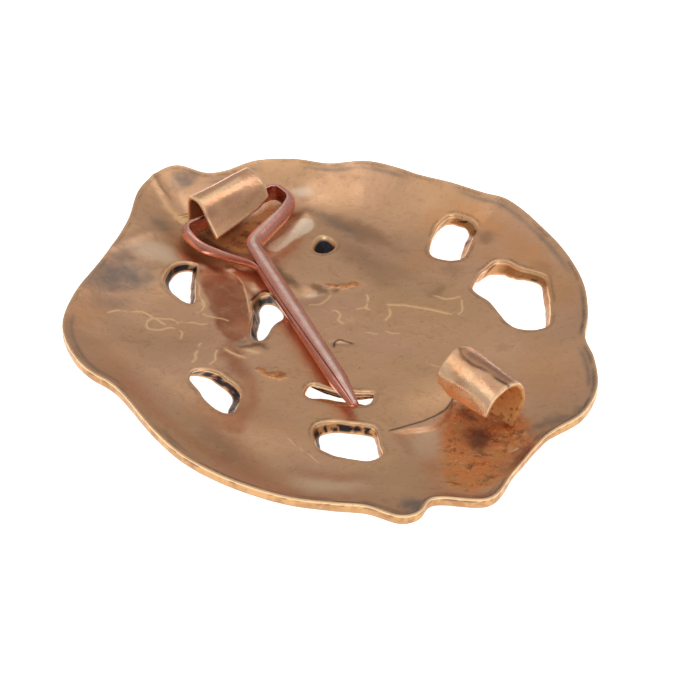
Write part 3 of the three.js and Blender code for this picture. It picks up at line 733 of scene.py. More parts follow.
# Patina of the back by kind, with painted glare and painted shade patches among them: [x, y, half length,
# half width, turn, strength].
PATCHES = dict(
    tarnish=[
        (-17.6, -9.4, 3.0, 2.1, 45, 0.85), (-21.2, -2, 1.6, 0.9, 10, 0.5), (-25.3, 3.5, 0.9, 1.4, 20, 0.75),
        (21.4, -10.5, 1.2, 1.0, 0, 0.8), (-15.5, -12.2, 1.6, 1.2, 30, 0.35), (-19.6, -7.6, 1.2, 1.6, 20, 0.6),
        (20.8, 6, 0.5, 4.5, -10, 0.5), (-6, 8.8, 5.5, 1.2, -5, 0.15), (12, 19, 7, 1.0, -30, 0.3),
        (-11.5, 9.2, 2.6, 0.8, 5, 0.45), (22.6, -3.6, 0.5, 1.8, 25, 0.5), (-4.2, -7.3, 0.9, 0.3, 60, 0.6),
    ],
    stain=[
        (-2.6, -9.3, 2.6, 0.7, -35, 0.8), (1.6, -12.2, 1.6, 0.9, -60, 0.6), (-14.8, -3.0, 1.0, 1.4, 0, 0.35),
        (2.4, -15.6, 2.6, 1.5, -20, 0.65), (7.5, -16.4, 3.5, 0.8, -5, 0.45), (-11.4, 1.0, 1.0, 0.8, 0, 0.5),
    ],
    rust=[
        (20.6, 1.6, 1.1, 0.9, 0, 1.0),
    ],
    warm=[
        (-4.2, 19.4, 4.2, 1.4, 5, 0.8), (2.2, 19.0, 4.2, 1.4, -12, 0.75), (7.2, 17.5, 2.6, 1.8, -30, 0.5),
        (-6.8, 16.6, 1.4, 2.2, 20, 0.5), (-15.5, -15, 2, 3, 30, 0.35), (-8, -17.5, 5, 1.6, -12, 0.4),
        (16, 9, 3.5, 2.5, -40, 0.35), (10, -17.5, 6, 1.2, 8, 0.3), (-3.0, 12.5, 1.4, 3.2, 0, 0.35),
        (0, 17.5, 5, 3, 0, 0.3), (5, -12.5, 4, 2, 0, 0.25),
    ],
    shade=[
        (-9.5, 10.2, 4.5, 1.2, 12, 0.55), (-8.7, 1.2, 2.2, 0.5, -12, 0.85), (-14.9, 6.4, 0.4, 2.2, 10, 0.6),
        (-5.5, 7.5, 4.5, 1.3, -5, 0.3), (-2.0, 18.0, 1.0, 1.0, 40, 0.5), (-0.5, 12.5, 1.0, 0.8, 0, 0.3),
        (-11.3, 0.4, 0.7, 1.1, 0, 0.6), (-5.7, 1.9, 1.1, 0.3, 15, 0.8), (-4.5, 2.9, 0.4, 0.25, 0, 0.7),
        (18.6, -1.0, 1.7, 1.0, -20, 1.0), (-3.0, -6.9, 1.3, 0.32, 45, 0.95),
        (-13.0, -2.9, 0.8, 0.4, 10, 0.5), (4.5, 18.6, 1.2, 0.8, 0, 0.2), (15.4, 0.5, 1.3, 0.5, -10, 0.5),
        (6, -17.5, 4, 1.0, 0, 0.4), (1.0, 9.6, 0.7, 0.9, 0, 0.35), (-2.5, 7.0, 1.6, 0.9, 20, 0.3),
    ],
    painted_glare=[
        (-18.3, -4.9, 2.5, 1.2, 20, 0.6), (-17.2, 10.2, 1.0, 0.8, 40, 0.8), (-14.2, -3.4, 0.6, 0.35, 0, 0.9),
        (-12.3, -1.7, 0.6, 0.3, 35, 0.9), (-10.0, -2.9, 1.0, 0.3, -25, 0.25), (-5.1, 1.3, 0.7, 0.3, 60, 0.95),
        (16.3, -4.6, 1.2, 2.4, 40, 0.3), (-8.6, -1.8, 0.4, 0.25, 0, 0.7), (15.2, -14.2, 2.6, 1.0, 45, 0.35),
    ],
)
# Patches with a shape of their own: [kind, softness of the edge, strength, corners].
REGIONS = [
    ("rust", 0.7, 1.0, [
        (14.4, -1.3), (13.9, 0.5), (15.4, 2.4), (19.6, 3.6), (21.5, 0), (22.6, -1.9), (23.6, -3.9),
        (22.8, -6.1), (21.2, -7), (18.6, -5.2), (16.7, -3.1)]),
    ("stain", 0.22, 0.95, [
        (-12.9, -4.5), (-12.5, -3.1), (-11, -2.3), (-8.1, -3.3), (-5.8, -4.9), (-4.4, -6), (-4.4, -7.7),
        (-5.6, -8), (-7.7, -7.2), (-10.9, -5.6)]),
    ("stain", 0.6, 0.75, [
        (-4.2, -9.3), (-1.6, -8.9), (0.9, -9.9), (3.2, -11.4), (4.6, -13.6), (5.6, -15.4), (3.6, -16),
        (2.6, -14.6), (2.2, -12), (0, -10.9), (-2.6, -10.2)]),
    ("ember", 0.3, 1.0, [
        (-18.1, -0.1), (-16.5, 0.5), (-17.4, 7), (-16.2, 6.7), (-14.8, 3.4), (-13.2, 1.1), (-16.4, -0.4)]),
    ("painted_glare", 0.14, 1.0, [
        (-12.9, 2.6), (-11.9, 2.8), (-12, 3.8), (-12.7, 7.6), (-13.6, 8.3), (-14.3, 7.3), (-13.6, 5.1)]),
]
# Lines with a half width each: dark ones, the first of them painted shade along the step, loose flakes, and
# pale ones that are painted highlights along ridges and edges.
BLACK_LINES = [
    ([(12.9, 1.3), (13.3, 0.7), (13.9, -0.7), (13.9, -2.3), (13.6, -3.8), (13.1, -5.6)], 0.10),
    ([(1.4, -1.9), (1.0, -1.3), (1.3, -0.9), (2.0, -0.5)], 0.11),
    ([(-8.0, -3.0), (-8.2, -1.9), (-7.6, -1.1), (-6.7, -1.6), (-6.9, -2.2), (-7.4, -2.2)], 0.10),
    ([(-7.0, -3.6), (-7.2, -2.8), (-6.6, -2.4)], 0.08),
]
FLAKES = [([(-5.4, 3.0), (-4.6, 3.9), (-3.9, 4.9)], 0.28), ([(-0.2, -8.4), (0.9, -8.2), (2.0, -8.1)], 0.28)]
PAINTED_GLINT_LINES = [
    ([(-23.4, 0.1), (-21.8, -0.3), (-20.4, -0.6)], 0.30), ([(-2.6, -7.7), (-2.1, -7.4)], 0.24),
    ([(-3.8, -9.1), (-3.1, -9.0), (-2.4, -8.6)], 0.15), ([(-13.4, -4.6), (-11.2, -5.9), (-9.4, -7.0)], 0.05),
    ([(-12.9, -2.0), (-10.7, -2.0), (-8.3, -3.2), (-6.6, -4.3)], 0.07),
    ([(-4.1, 0.3), (-3.7, 1.2), (-4.1, 2.2)], 0.08),
]
RAGGED = [(0.45, 1.1, 11), (0.2, 0.4, 13)]      # how the patches' edges wander: reach, size, seed
# Lines along the edges: (distance from the edge, half width); the edge line is a painted shade outline, the
# last a bright band of worn edge and painted highlight.
RIM_CHANNEL, RIM_LINE, EDGE_LINE, EDGE_SHEEN_AND_WEAR = (0.75, 0.2), (0.36, 0.13), (0.34, 0.1), (0, 0.12)
SURFACE_LINES = SCRATCHES + BLACK_LINES + PAINTED_GLINT_LINES      # that the surface's points follow


def back_marks(points, z, rim, edge):
    """Patina and wear of the back, with painted glare, highlight lines and shade, as masks between 0 and 1.
    """
    seen = apparent(points, z)
    x, y = seen[:, 0], seen[:, 1]
    ragged = seen
    for reach, size, seed in RAGGED:
        ragged = ragged + reach * noise_pair(x, y, size, seed)
    marks = {}
    for kind, patches in PATCHES.items():
        place = (seen + ragged) / 2 if kind == "painted_glare" else ragged
        spots = [s * blob(place, bx, by, a, b, turn, 1.6) for bx, by, a, b, turn, s in patches]
        marks[kind] = np.max(spots, axis=0)
    for kind, soft, strength, corners in REGIONS:
        place = ragged if kind == "rust" else seen + 0.35 * (ragged - seen)
        marks[kind] = np.maximum(marks.get(kind, 0), strength * region(place, corners, soft))
    broken = smooth(-0.85, -0.35, noise2(x, y, 0.5, 16))
    scratch, soot = np.zeros(len(points)), np.zeros(len(points))
    # scratches, and pale lines that paint highlights
    for line, width in SCRATCHES + PAINTED_GLINT_LINES:
        d, _, _ = line_distance(seen, drawn_path(line, 0.2))
        scratch = np.maximum(scratch, np.exp(-(d / (0.95 * width)) ** 2) * broken)
    for line, width in FLAKES:
        d, _, _ = line_distance(ragged, np.array(line, float))
        marks["rust"] = np.maximum(marks["rust"], 0.95 * np.exp(-(d / width) ** 4))
        marks["warm"] = np.maximum(marks["warm"], np.exp(-(d / width) ** 2))
    # dark lines; the one along the step is painted shade
    for line, width in BLACK_LINES:
        d, _, _ = line_distance(seen, drawn_path(line, 0.2))
        soot = np.maximum(soot, 0.95 * np.exp(-(d / width) ** 4))
    channel = band(rim, *RIM_CHANNEL) * smooth(-0.2, 0.5, noise2(x, y, 3.5, 17))
    dark_line = band(rim, *RIM_LINE) * smooth(2, 14, x)
    dark_line *= smooth(-0.7, 0.1, noise2(x, y, 1.6, 19))
    marks["tarnish"] = np.maximum(marks["tarnish"], np.maximum(0.6 * channel, 0.9 * dark_line))
    # painted shade: a dark outline just outside the edges
    outline = band(edge, *EDGE_LINE) * smooth(-0.6, 0.4, noise2(x, y, 1.2, 18))
    marks["shade"] = np.maximum(marks["shade"], 0.6 * outline)
    # bright edges: worn, and a painted highlight
    sheen_and_wear = 0.9 * band(edge, *EDGE_SHEEN_AND_WEAR)
    marks.update(scratch=scratch, soot=soot, bright=sheen_and_wear, side=np.zeros(len(points)))
    return marks


def plate_triangles():
    """The plate seen from above, as points and triangles that leave its voids open."""
    points, edges = plate_points()
    flat, _, faces, _, _, _ = delaunay_2d_cdt([tuple(p) for p in points], edges, [], 1, 1e-6)
    flat, faces = np.array([tuple(p) for p in flat]), np.array(faces)
    middle = flat[faces].mean(axis=1)
    hole = np.any([inside(middle, loop) for loop in VOID_LOOPS], axis=0)
    faces = faces[~hole & inside(middle, RIM)]
    used = np.unique(faces)
    renumber = np.full(len(flat), -1)
    renumber[used] = np.arange(len(used))
    flat, faces = flat[used], renumber[faces]
    a, b, c = (flat[faces[:, k]] for k in range(3))
    flipped = (b[:, 0] - a[:, 0]) * (c[:, 1] - a[:, 1]) - (b[:, 1] - a[:, 1]) * (c[:, 0] - a[:, 0]) < 0
    faces[flipped] = faces[flipped][:, ::-1]
    return flat, faces


def open_edges(faces):
    """Edges that only one triangle uses, in that triangle's own direction."""
    sides = np.vstack([faces[:, [0, 1]], faces[:, [1, 2]], faces[:, [2, 0]]]).tolist()
    taken = {tuple(side) for side in sides}
    return [side for side in sides if (side[1], side[0]) not in taken]


def wall_quads(border, ids, count):
    """Quads of the walls: from the back's edge, past WALL_ROWS rows of points, to the face's edge."""
    row_of = {vertex: k for k, vertex in enumerate(ids)}

    def wall_id(vertex, row):
        if row == 0:
            return vertex
        if row == WALL_ROWS + 1:
            return count + vertex
        return 2 * count + (row - 1) * len(ids) + row_of[vertex]

    return [
        (wall_id(q, row), wall_id(p, row), wall_id(p, row + 1), wall_id(q, row + 1))
        for p, q in border for row in range(WALL_ROWS + 1)
    ]


def wall_soot(flat, row, at_void):
    """Darkening of the walls' points: patches in each void, and only along the top of the rim."""
    run = flat[:, 0] + 1.7 * flat[:, 1]
    soot = np.zeros(len(flat))
    for loop, level in zip(VOID_LOOPS, WALL_DARKENING):
        own = loop_distance(flat, loop, VOID_REACH) < 0.05
        patches = noise2(run, flat[:, 1] + 0.35 * row, 0.55, 22)
        grime = smooth(0.75 - 1.5 * level, 1.15 - 1.5 * level, patches)
        soot[own] = np.maximum(grime, smooth(0.8, 1.0, level))[own] if level < 1 else 1.0
    rim_blotches = smooth(0.0, 0.5, noise2(run, flat[:, 1] + 0.4 * row, 0.7, 21))
    return np.where(at_void, soot, 0.7 * rim_blotches * (row == 0))


def badge_plate():
    """The plate: back and face over the same triangles, joined by walls round its rim and its voids."""
    flat, faces = plate_triangles()
    rim, void = rim_distance(flat), void_distance(flat)
    edge = np.minimum(rim, void)
    back = back_height(flat, rim)
    drop = np.maximum(edge_drop(rim, EDGE_ROUND), edge_drop(void, VOID_ROUND))
    top = back - drop
    under = undercut(flat)
    bottom = np.minimum(face_height(under, back, rim) + drop, top - LEAST_EDGE)

    border = open_edges(faces)
    ids = sorted({side[0] for side in border})
    wall = []
    for row in range(1, WALL_ROWS + 1):
        t = row / (WALL_ROWS + 1)
        between = flat[ids] * (1 - t) + under[ids] * t
        wall.append(np.column_stack([between, top[ids] * (1 - t) + bottom[ids] * t]))
    count = len(flat)
    vertices = np.vstack([np.column_stack([flat, top]), np.column_stack([under, bottom])] + wall)
    all_faces = faces.tolist() + (faces[:, ::-1] + count).tolist() + wall_quads(border, ids, count)

    at_void = np.tile(void[ids] < rim[ids], WALL_ROWS)
    side_row = np.repeat(np.arange(WALL_ROWS), len(ids))
    on_face = dict(
        side=0.6 * np.exp(-(edge / 0.6) ** 2),
        tarnish=FACE_TARNISH * smooth(0.25, 0.0, leaf_relief(flat)))
    on_side = dict(
        side=np.ones(len(side_row)),
        soot=wall_soot(np.vstack([flat[ids]] * WALL_ROWS), side_row, at_void),
        shade=np.where(at_void, VOID_SHADE, 0.0))
    marks = {}
    for kind, values in back_marks(flat, top, rim, edge).items():
        below, beside = on_face.get(kind, np.zeros(count)), on_side.get(kind, np.zeros(len(side_row)))
        marks[kind] = np.concatenate([values, below, beside])
    return make_mesh("plate", vertices, all_faces, BRONZE, "badge", ["badge_plate"], marks)


# ------------------------------------------------------------------ lugs

LUG_STEPS, SIDE_POINTS, PROFILE_POINTS = 64, 26, 400
LUG_EDGE = 0.13                 # radius of the sheet's edges


def strip_section():
    """Ring round the sheet's section: (place along the strip, depth into the sheet), pairs face to face."""
    along = np.linspace(LUG_EDGE, LUG_LENGTH - LUG_EDGE, SIDE_POINTS)
    angles = np.radians([90, 60, 30])
    start = [(LUG_EDGE - LUG_EDGE * math.sin(t), LUG_EDGE - LUG_EDGE * math.cos(t)) for t in angles]
    end = [(LUG_LENGTH - v, w) for v, w in reversed(start)]
    outer = start + [(v, 0.0) for v in along] + end
    inner = [(v, STRIP - w) for v, w in reversed(outer)]
    return np.array(outer + inner)


# Bands across each lug, by its distance from the foot round the bend: pale ones are painted highlights, dull
# ones brown and partly painted shade, and a near-black streak: [kind, middle, half width, strength].
HINGE_BANDS = [
    ("pale", 4.75, 0.22, 1.0), ("dull", 6.5, 1.0, 0.5), ("pale", 7.95, 0.12, 0.5), ("pale", 3.45, 0.14, 0.8),
]
CATCH_BANDS = [
    ("dull", 5.6, 0.8, 0.95), ("pale", 4.4, 0.12, 0.8), ("soot", 6.45, 0.16, 0.75), ("pale", 7.05, 0.25, 0.5),
    ("pale", 8.7, 1.0, 0.75),
]


def lug_marks(along, depth, run, lug_bands, grime, seed):
    """Bands of one ring of points, which lies at one distance from the lug's foot: painted highlights, brown
    bands that are partly painted shade, dark streaks, and the darker inside.
    """
    inner = smooth(0.5, 0.8, depth / STRIP)
    patchy = noise2(along, np.full(len(along), run), 0.9, seed + 1)
    marks = {kind: np.zeros(len(along)) for kind in ("pale", "dull")}
    # darker patches along the foot
    marks["soot"] = 0.5 * smooth(1.2, 0.0, run) * smooth(-0.2, 0.6, patchy)
    marks.update(inner=inner, grime=inner * grime)
    for kind, middle, half, strength in lug_bands:
        wander = run - middle + 0.18 * noise2(along, along * 0, 1.4, seed + 2)
        sheen_and_wear = strength * np.exp(-(wander / half) ** 4) * smooth(-0.9, 0.1, patchy) * (1 - inner)
        marks[kind] = np.maximum(marks[kind], sheen_and_wear)
    # painted highlight along the strip's cut ends
    mouth = 0.8 * smooth(0.22, 0.06, np.minimum(along, LUG_LENGTH - along)) * (1 - inner)
    marks["pale"] = np.maximum(marks["pale"], mouth)
    return marks


def lug_piece(name, near, far, place, corner_cut, node, seed, lug_bands, grime):
    """The sheet bent into a hook, lofted between its two ends' profiles."""
    section = strip_section()
    share = section[:, 0] / LUG_LENGTH
    profiles = [spaced(catmull(p, 24, False), count=PROFILE_POINTS) for p in (near, far)]
    lengths = [np.linalg.norm(np.diff(p, axis=0), axis=1).sum() for p in profiles]
    length = sum(lengths) / 2
    runs = list(np.linspace(0, length - LUG_EDGE, LUG_STEPS))
    bend = np.radians([30, 60, 85])
    caps = [(length - LUG_EDGE + LUG_EDGE * math.sin(t), LUG_EDGE * (1 - math.cos(t))) for t in bend]
    steps = [(run, 0.0) for run in runs] + caps
    reach = 1 - corner_cut[0] * smooth(corner_cut[1], corner_cut[2], share) ** 1.5
    rings, marks, last = [], [], PROFILE_POINTS - 1
    for run, inset in steps:
        u = run / length * reach * last
        low = np.clip(np.floor(u).astype(int), 0, last - 2)
        f = u - low
        flat, ahead = [], []
        for profile in profiles:
            flat.append(profile[low] * (1 - f)[:, None] + profile[low + 1] * f[:, None])
            step = profile[np.minimum(low + 2, last)] - profile[np.maximum(low - 1, 0)]
            ahead.append(step / np.linalg.norm(step, axis=1)[:, None])
        at = flat[0] * (1 - share)[:, None] + flat[1] * share[:, None]
        tangent = ahead[0] * (1 - share)[:, None] + ahead[1] * share[:, None]
        inward = np.stack([tangent[:, 1], -tangent[:, 0]], axis=1)
        inward /= np.linalg.norm(inward, axis=1)[:, None]
        across = np.clip(section[:, 0], inset, LUG_LENGTH - inset)
        depth = np.clip(section[:, 1], inset, STRIP - inset)
        dent = 0.05 * noise2(np.full(len(share), run), section[:, 0], 2.0, seed) * min(1, run / 1.5)
        shift = inward * (depth + dent)[:, None]
        rings.append(np.column_stack([at[:, 0] + shift[:, 0], across, at[:, 1] + shift[:, 1]]))
        marks.append(lug_marks(section[:, 0], section[:, 1], run, lug_bands, grime, seed))
    points = np.vstack(rings)
    flat = turned(points, place["turn"], place["x"], place["y"])
    placed = np.column_stack([flat, points[:, 2] + BACK_LEVEL + place["foot"]])
    faces = tube_faces(len(rings), len(section))
    marks = {kind: np.concatenate([ring[kind] for ring in marks]) for kind in marks[0]}
    return make_mesh(name, placed, faces, GILT, "badge", [node], marks)


# ------------------------------------------------------------------ braze


def braze_piece(name, node, x, y, a, b, turn, height, lump, seed, rust):
    """A lumpy mound of braze that runs out onto the back."""
    rings, around = 26, 72
    points = []
    angles = np.linspace(0, 2 * math.pi, around, endpoint=False)
    for layer in ("top", "under"):
        for k in range(rings):
            r = k / (rings - 1)
            ragged = 1 + 0.16 * noise2(np.cos(angles) * 3 + seed, np.sin(angles) * 3, 0.9, seed)
            oval = np.stack([a * r * ragged * np.cos(angles), b * r * ragged * np.sin(angles)], axis=1)
            flat = turned(oval, turn, x, y)
            base = back_height(flat, rim_distance(flat))
            if layer == "top":
                dome = (1 - r ** 2) ** 1.2
                rough = lump * noise2(flat[:, 0], flat[:, 1], 0.55, seed + 1)
                rough += 0.5 * lump * noise2(flat[:, 0], flat[:, 1], 0.25, seed + 2)
                z = base + height * dome + rough * (1 - r ** 4) + 0.02 * (1 - r) - 0.05 * r ** 6
            else:
                z = base - 0.12
            points.append(np.column_stack([flat, z]))
    grid = np.vstack(points)
    faces = []
    for layer, base in ((0, 0), (1, rings * around)):
        for k in range(rings - 1):
            for i in range(around):
                j = (i + 1) % around
                near, far = base + k * around, base + (k + 1) * around
                quad = (near + i, far + i, far + j, near + j)
                faces.append(quad if layer == 0 else quad[::-1])
    outer, under = (rings - 1) * around, (2 * rings - 1) * around
    for i in range(around):
        j = (i + 1) % around
        faces.append((outer + i, under + i, under + j, outer + j))
    away = np.tile(np.repeat(np.arange(rings) / (rings - 1), around), 2)
    rim = rim_distance(grid[:, :2])
    marks = back_marks(grid[:, :2], back_height(grid[:, :2], rim), rim, rim)
    marks["rust"] = np.maximum(marks["rust"], rust * smooth(1.0, 0.6, away))
    marks["side"] = (1 - rust) * smooth(1.0, 0.7, away)
    piece = make_mesh(name, grid, faces, BRONZE, "badge", [node], marks)
    weld(piece)
    return piece


def weld(piece):
    """Joins the points that lie on each other, as in the middle of a polar grid."""
    shape = bmesh.new()
    shape.from_mesh(piece.data)
    bmesh.ops.remove_doubles(shape, verts=shape.verts, dist=1e-7)
    shape.to_mesh(piece.data)
    shape.free()


# ------------------------------------------------------------------ split pin


def pin_corners():
    """Corners of the wire's flat side from tip to tip, each with how far its bend reaches."""
    turn = math.atan2(*(PIN_TIP - STEM_START)[::-1])
    side = np.array([-math.sin(turn), math.cos(turn)]) * SEAM / 2
    inner = WIRE_R / 2
    return [
        (PIN_TIP - side, 0), (STEM_START - side, 1.2), (np.array([3.0, -5.2]), 1.0),
        (np.array([inner, -5.0]), 0.9), (np.array([inner, 4.4]), 0.6), (np.array([2.3, 4.35]), 0.7),
        (np.array([3.5, 2.6]), 1.0), (np.array([5.4, -2.05]) + side, 1.0), (PIN_TIP + side, 0),
    ]


def rounded_path(corners):
    """The wire's flat side: straight runs with a smooth bend at each corner."""
    line = [corners[0][0]]
    for (before, _), (here, cut), (after, _) in zip(corners, corners[1:], corners[2:]):
        start = here + (before - here) / np.linalg.norm(before - here) * cut
        end = here + (after - here) / np.linalg.norm(after - here) * cut
        t = np.linspace(0, 1, 12)[:, None]
        line.extend((1 - t) ** 2 * start + 2 * t * (1 - t) * here + t ** 2 * end)
    line.append(corners[-1][0])
    return spaced(np.array(line), 0.16)


def half_round():
    """Half-round section with softened corners: (outwards, up), pairs across the flat."""
    arc = [(WIRE_R * math.sin(t), WIRE_R * math.cos(t)) for t in np.radians(np.linspace(9, 90, 10))]
    corner = [(0.0, WIRE_R * 0.55), (0.0, WIRE_R * 0.9), (0.03, WIRE_R * 0.97)]
    upper = [(0.0, WIRE_R * 0.2)] + corner + arc
    lower = [(w, -h) for w, h in reversed(upper[:-1])]
    return np.array(upper + lower)


STEM_TWIST, TIP_TWIST = 62, 30            # how far the two legs have rolled about each other, in degrees
TWIST_RUN, HEAD_RUN = 18, (31, 22)        # how far from the tip the roll grows, and where it dies out
PIN_SHINE = np.array([0.0, -0.12, 0.99])  # way that the wire's painted highlight faces, taken also as its burnished side


def split_pin():
    """The wire, folded so that its two legs roll about each other towards a filed tip."""
    path = rounded_path(pin_corners())
    run = run_along(path)
    section = half_round()
    back = (STEM_START - PIN_TIP) / np.linalg.norm(STEM_START - PIN_TIP)
    side = np.array([-back[1], back[0]])
    rings, soot, sheen_and_wear = [], [], []
    total = run[-1]
    for i, (p, out) in enumerate(zip(path, left_of(path))):
        lead = min(run[i], total - run[i])
        twist = TIP_TWIST + (STEM_TWIST - TIP_TWIST) * float(smooth(0, TWIST_RUN, lead))
        twist = math.radians(twist) * float(smooth(*HEAD_RUN, lead))
        twist = -twist if run[i] < total / 2 else twist
        c, s = math.cos(twist), math.sin(twist)
        outwards = section[:, 0] * c - section[:, 1] * s
        flat = p + outwards[:, None] * out
        z = section[:, 0] * s + section[:, 1] * c
        from_tip = flat - PIN_TIP
        along, across = from_tip @ back, from_tip @ side
        taper = PIN_BLUNT + (1 - PIN_BLUNT) * np.clip(along, 0, None) / PIN_TAPER
        keep = np.where(along < PIN_TAPER, taper, 1.0)
        flat = PIN_TIP + along[:, None] * back + (across * keep)[:, None] * side
        rings.append(np.column_stack([flat, z * keep]))
        # painted shade on the flat sides, where the two legs meet
        soot.append(0.35 * smooth(0.12, -0.02, section[:, 0] / WIRE_R))
        outward = outwards[:, None] * out
        # painted highlight on the side of the wire that faces PIN_SHINE
        facing = (outward @ PIN_SHINE[:2] + z * PIN_SHINE[2]) / WIRE_R
        sheen_and_wear.append(smooth(0.93, 0.995, facing))
    local = np.vstack(rings)
    flat = turned(local, PIN_AXIS["turn"], PIN_AXIS["x"], PIN_AXIS["y"])
    placed = np.column_stack([flat, local[:, 2] + BACK_LEVEL + PIN_AXIS["z"]])
    faces = tube_faces(len(rings), len(section))
    return make_mesh(
        "pin_wire", placed, faces, pin_material(), "pin", ["split_pin"],
        dict(soot=np.concatenate(soot), sheen_and_wear=np.concatenate(sheen_and_wear)))


# ------------------------------------------------------------------ stage, light and camera


TABLE_HALF, TABLE_DROP = 3.0, 0.00002       # metres
TABLE_WHITE, TABLE_GLOW = (0.9, 0.9, 0.9, 1), 0.92


def stage_floor():
    """A plain white table top that glows slightly and shows only from above."""
    mesh = bpy.data.meshes.new("table_top")
    corners = [(x * TABLE_HALF, y * TABLE_HALF, 0) for x, y in ((-1, -1), (1, -1), (1, 1), (-1, 1))]
    mesh.from_pydata(corners, [], [(0, 1, 2, 3)])
    floor = bpy.data.objects.new("table_top", mesh)
    bpy.context.scene.collection.objects.link(floor)
    floor.location.z = -TABLE_DROP
    n = Nodes(bpy.data.materials.new("white_table"))
    white = n.add("ShaderNodeBsdfDiffuse")
    white.inputs["Color"].default_value = TABLE_WHITE
    glow = n.add("ShaderNodeEmission")
    glow.inputs["Strength"].default_value = TABLE_GLOW
    lit = n.add("ShaderNodeAddShader")
    n.feed(lit.inputs[0], white.outputs[0])
    n.feed(lit.inputs[1], glow.outputs[0])
    clear = n.add("ShaderNodeBsdfTransparent")
    pick = n.add("ShaderNodeMixShader")
    n.feed(pick.inputs[0], n.add("ShaderNodeNewGeometry").outputs["Backfacing"])
    n.feed(pick.inputs[1], lit.outputs[0])
    n.feed(pick.inputs[2], clear.outputs[0])
    n.feed(n.add("ShaderNodeOutputMaterial").inputs["Surface"], pick.outputs[0])
    mesh.materials.append(n.owner)


# Soft boxes of the studio: (direction towards it, half angle in degrees, softness in degrees, strength).
SOFT_BOXES = [
    ((-0.17, 0.22, 0.96), 8, 5, 1.1),
    ((-0.60, -0.40, 0.69), 9, 6, 1.2),
    ((0.55, -0.45, 0.65), 14, 9, 1.5),
    ((0.14, 0.50, 0.84), 11, 8, 0.9),
]
# Brightness of the studio by height: (vertical part of the direction, level).
SKY_LEVELS = [(-0.1, 0.38), (0.15, 0.36), (0.45, 0.40), (0.62, 0.44), (0.82, 0.56), (1.0, 0.66)]


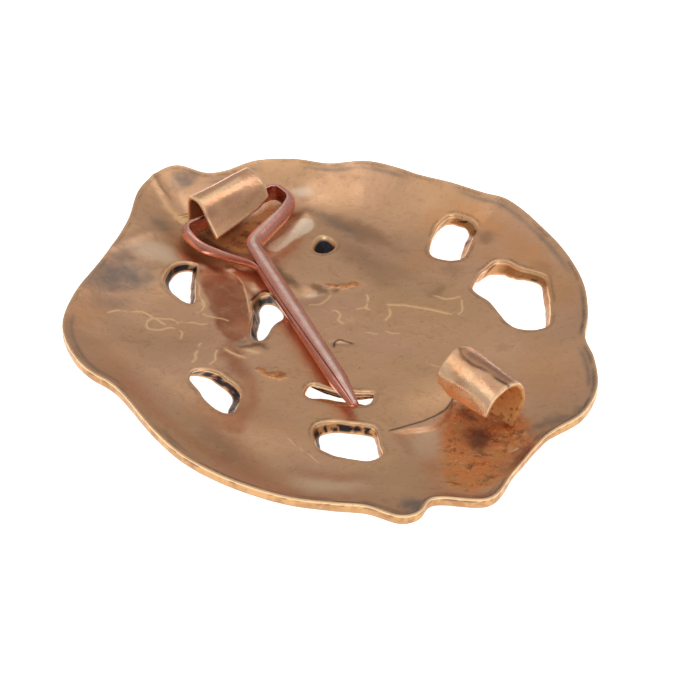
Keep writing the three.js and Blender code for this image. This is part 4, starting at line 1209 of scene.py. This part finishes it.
def studio_world():
    """A soft studio: dim walls, a paler ceiling and wide soft boxes; the camera itself sees plain white."""
    world = bpy.data.worlds.new("studio")
    bpy.context.scene.world = world
    n = Nodes(world, "Generated")
    split = n.add("ShaderNodeSeparateXYZ")
    n.feed(split.inputs[0], n.place)
    lowest, highest = SKY_LEVELS[0][0], SKY_LEVELS[-1][0]
    spread = n.add("ShaderNodeMapRange")
    n.feed(spread.inputs["From Min"], lowest)
    n.feed(spread.inputs["From Max"], highest)
    n.feed(spread.inputs["Value"], split.outputs["Z"])
    ramp = n.add("ShaderNodeValToRGB")
    n.feed(ramp.inputs["Fac"], spread.outputs["Result"])
    stops = ramp.color_ramp.elements
    while len(stops) < len(SKY_LEVELS):
        stops.new(0.5)
    for stop, (height, level) in zip(stops, SKY_LEVELS):
        stop.position = (height - lowest) / (highest - lowest)
        stop.color = (level, level, level, 1)
    total = ramp.outputs["Color"]
    for direction, half, soft, strength in SOFT_BOXES:
        dot = n.add("ShaderNodeVectorMath", operation="DOT_PRODUCT")
        n.feed(dot.inputs[0], n.place)
        n.feed(dot.inputs[1], Vector(direction).normalized())
        box = n.add("ShaderNodeMapRange", interpolation_type="SMOOTHSTEP")
        n.feed(box.inputs["Value"], dot.outputs["Value"])
        n.feed(box.inputs["From Min"], math.cos(math.radians(half + soft)))
        n.feed(box.inputs["From Max"], math.cos(math.radians(half - soft)))
        n.feed(box.inputs["To Max"], strength)
        plus = n.add("ShaderNodeMix", data_type="RGBA", blend_type="ADD")
        n.feed(plus.inputs["Factor"], 1.0)
        n.feed(plus.inputs["A"], total)
        n.feed(plus.inputs["B"], box.outputs["Result"])
        total = plus.outputs["Result"]
    light, backdrop = n.add("ShaderNodeBackground"), n.add("ShaderNodeBackground")
    n.feed(light.inputs["Color"], total)
    n.feed(backdrop.inputs["Color"], (1, 1, 1, 1))
    pick = n.add("ShaderNodeMixShader")
    n.feed(pick.inputs[0], n.add("ShaderNodeLightPath").outputs["Is Camera Ray"])
    n.feed(pick.inputs[1], light.outputs[0])
    n.feed(pick.inputs[2], backdrop.outputs[0])
    n.feed(n.add("ShaderNodeOutputWorld").inputs["Surface"], pick.outputs[0])


CAMERA_DISTANCE = 0.4
CAMERA_AIM = (1.14, -2.07, BACK_LEVEL)      # a point of the back, in millimetres
CAMERA_AZIMUTH, CAMERA_ELEVATION = 50.0, 37.0
CAMERA_LENS, CAMERA_SENSOR = 256.2, 36
CAMERA_SHIFT = (0.0147, 0.0074)


def camera():
    """A long lens that looks down at the back, from the catch lug's side."""
    aim = Vector(CAMERA_AIM) * MM
    a, e = math.radians(CAMERA_AZIMUTH), math.radians(CAMERA_ELEVATION)
    back = Vector((math.sin(a) * math.cos(e), -math.cos(a) * math.cos(e), math.sin(e)))
    data = bpy.data.cameras.new("camera")
    data.lens, data.sensor_width = CAMERA_LENS, CAMERA_SENSOR
    data.shift_x, data.shift_y = CAMERA_SHIFT
    data.clip_start, data.clip_end = 0.01, 20
    view = bpy.data.objects.new("camera", data)
    bpy.context.scene.collection.objects.link(view)
    view.location = aim + back * CAMERA_DISTANCE
    view.rotation_euler = (-back).to_track_quat("-Z", "Y").to_euler()
    bpy.context.scene.camera = view


# ------------------------------------------------------------------ the scene

camera()
studio_world()
stage_floor()
bpy.context.scene.view_settings.view_transform = "Standard"
BRONZE, GILT = plate_material(), lug_material()
badge_plate()
lug_piece("hinge_hook", HINGE_NEAR, HINGE_FAR, HINGE_LUG, (0.05, 0.75, 1.0), "hinge_lug", 50, HINGE_BANDS, 0.8)
lug_piece("catch_hook", CATCH_FAR, CATCH_NEAR, CATCH_LUG, (0.10, 0.25, 0.0), "catch_lug", 60, CATCH_BANDS, 0.0)
braze_piece("hinge_fillet", "hinge_lug_braze", -21.0, 2.6, 0.95, 3.2, HINGE_LUG["turn"], 0.40, 0.05, 70, 0.0)
braze_piece("catch_fillet", "catch_lug_braze", 19.2, 0.6, 3.0, 2.6, -0.4, 0.45, 0.16, 80, 1.0)
split_pin()
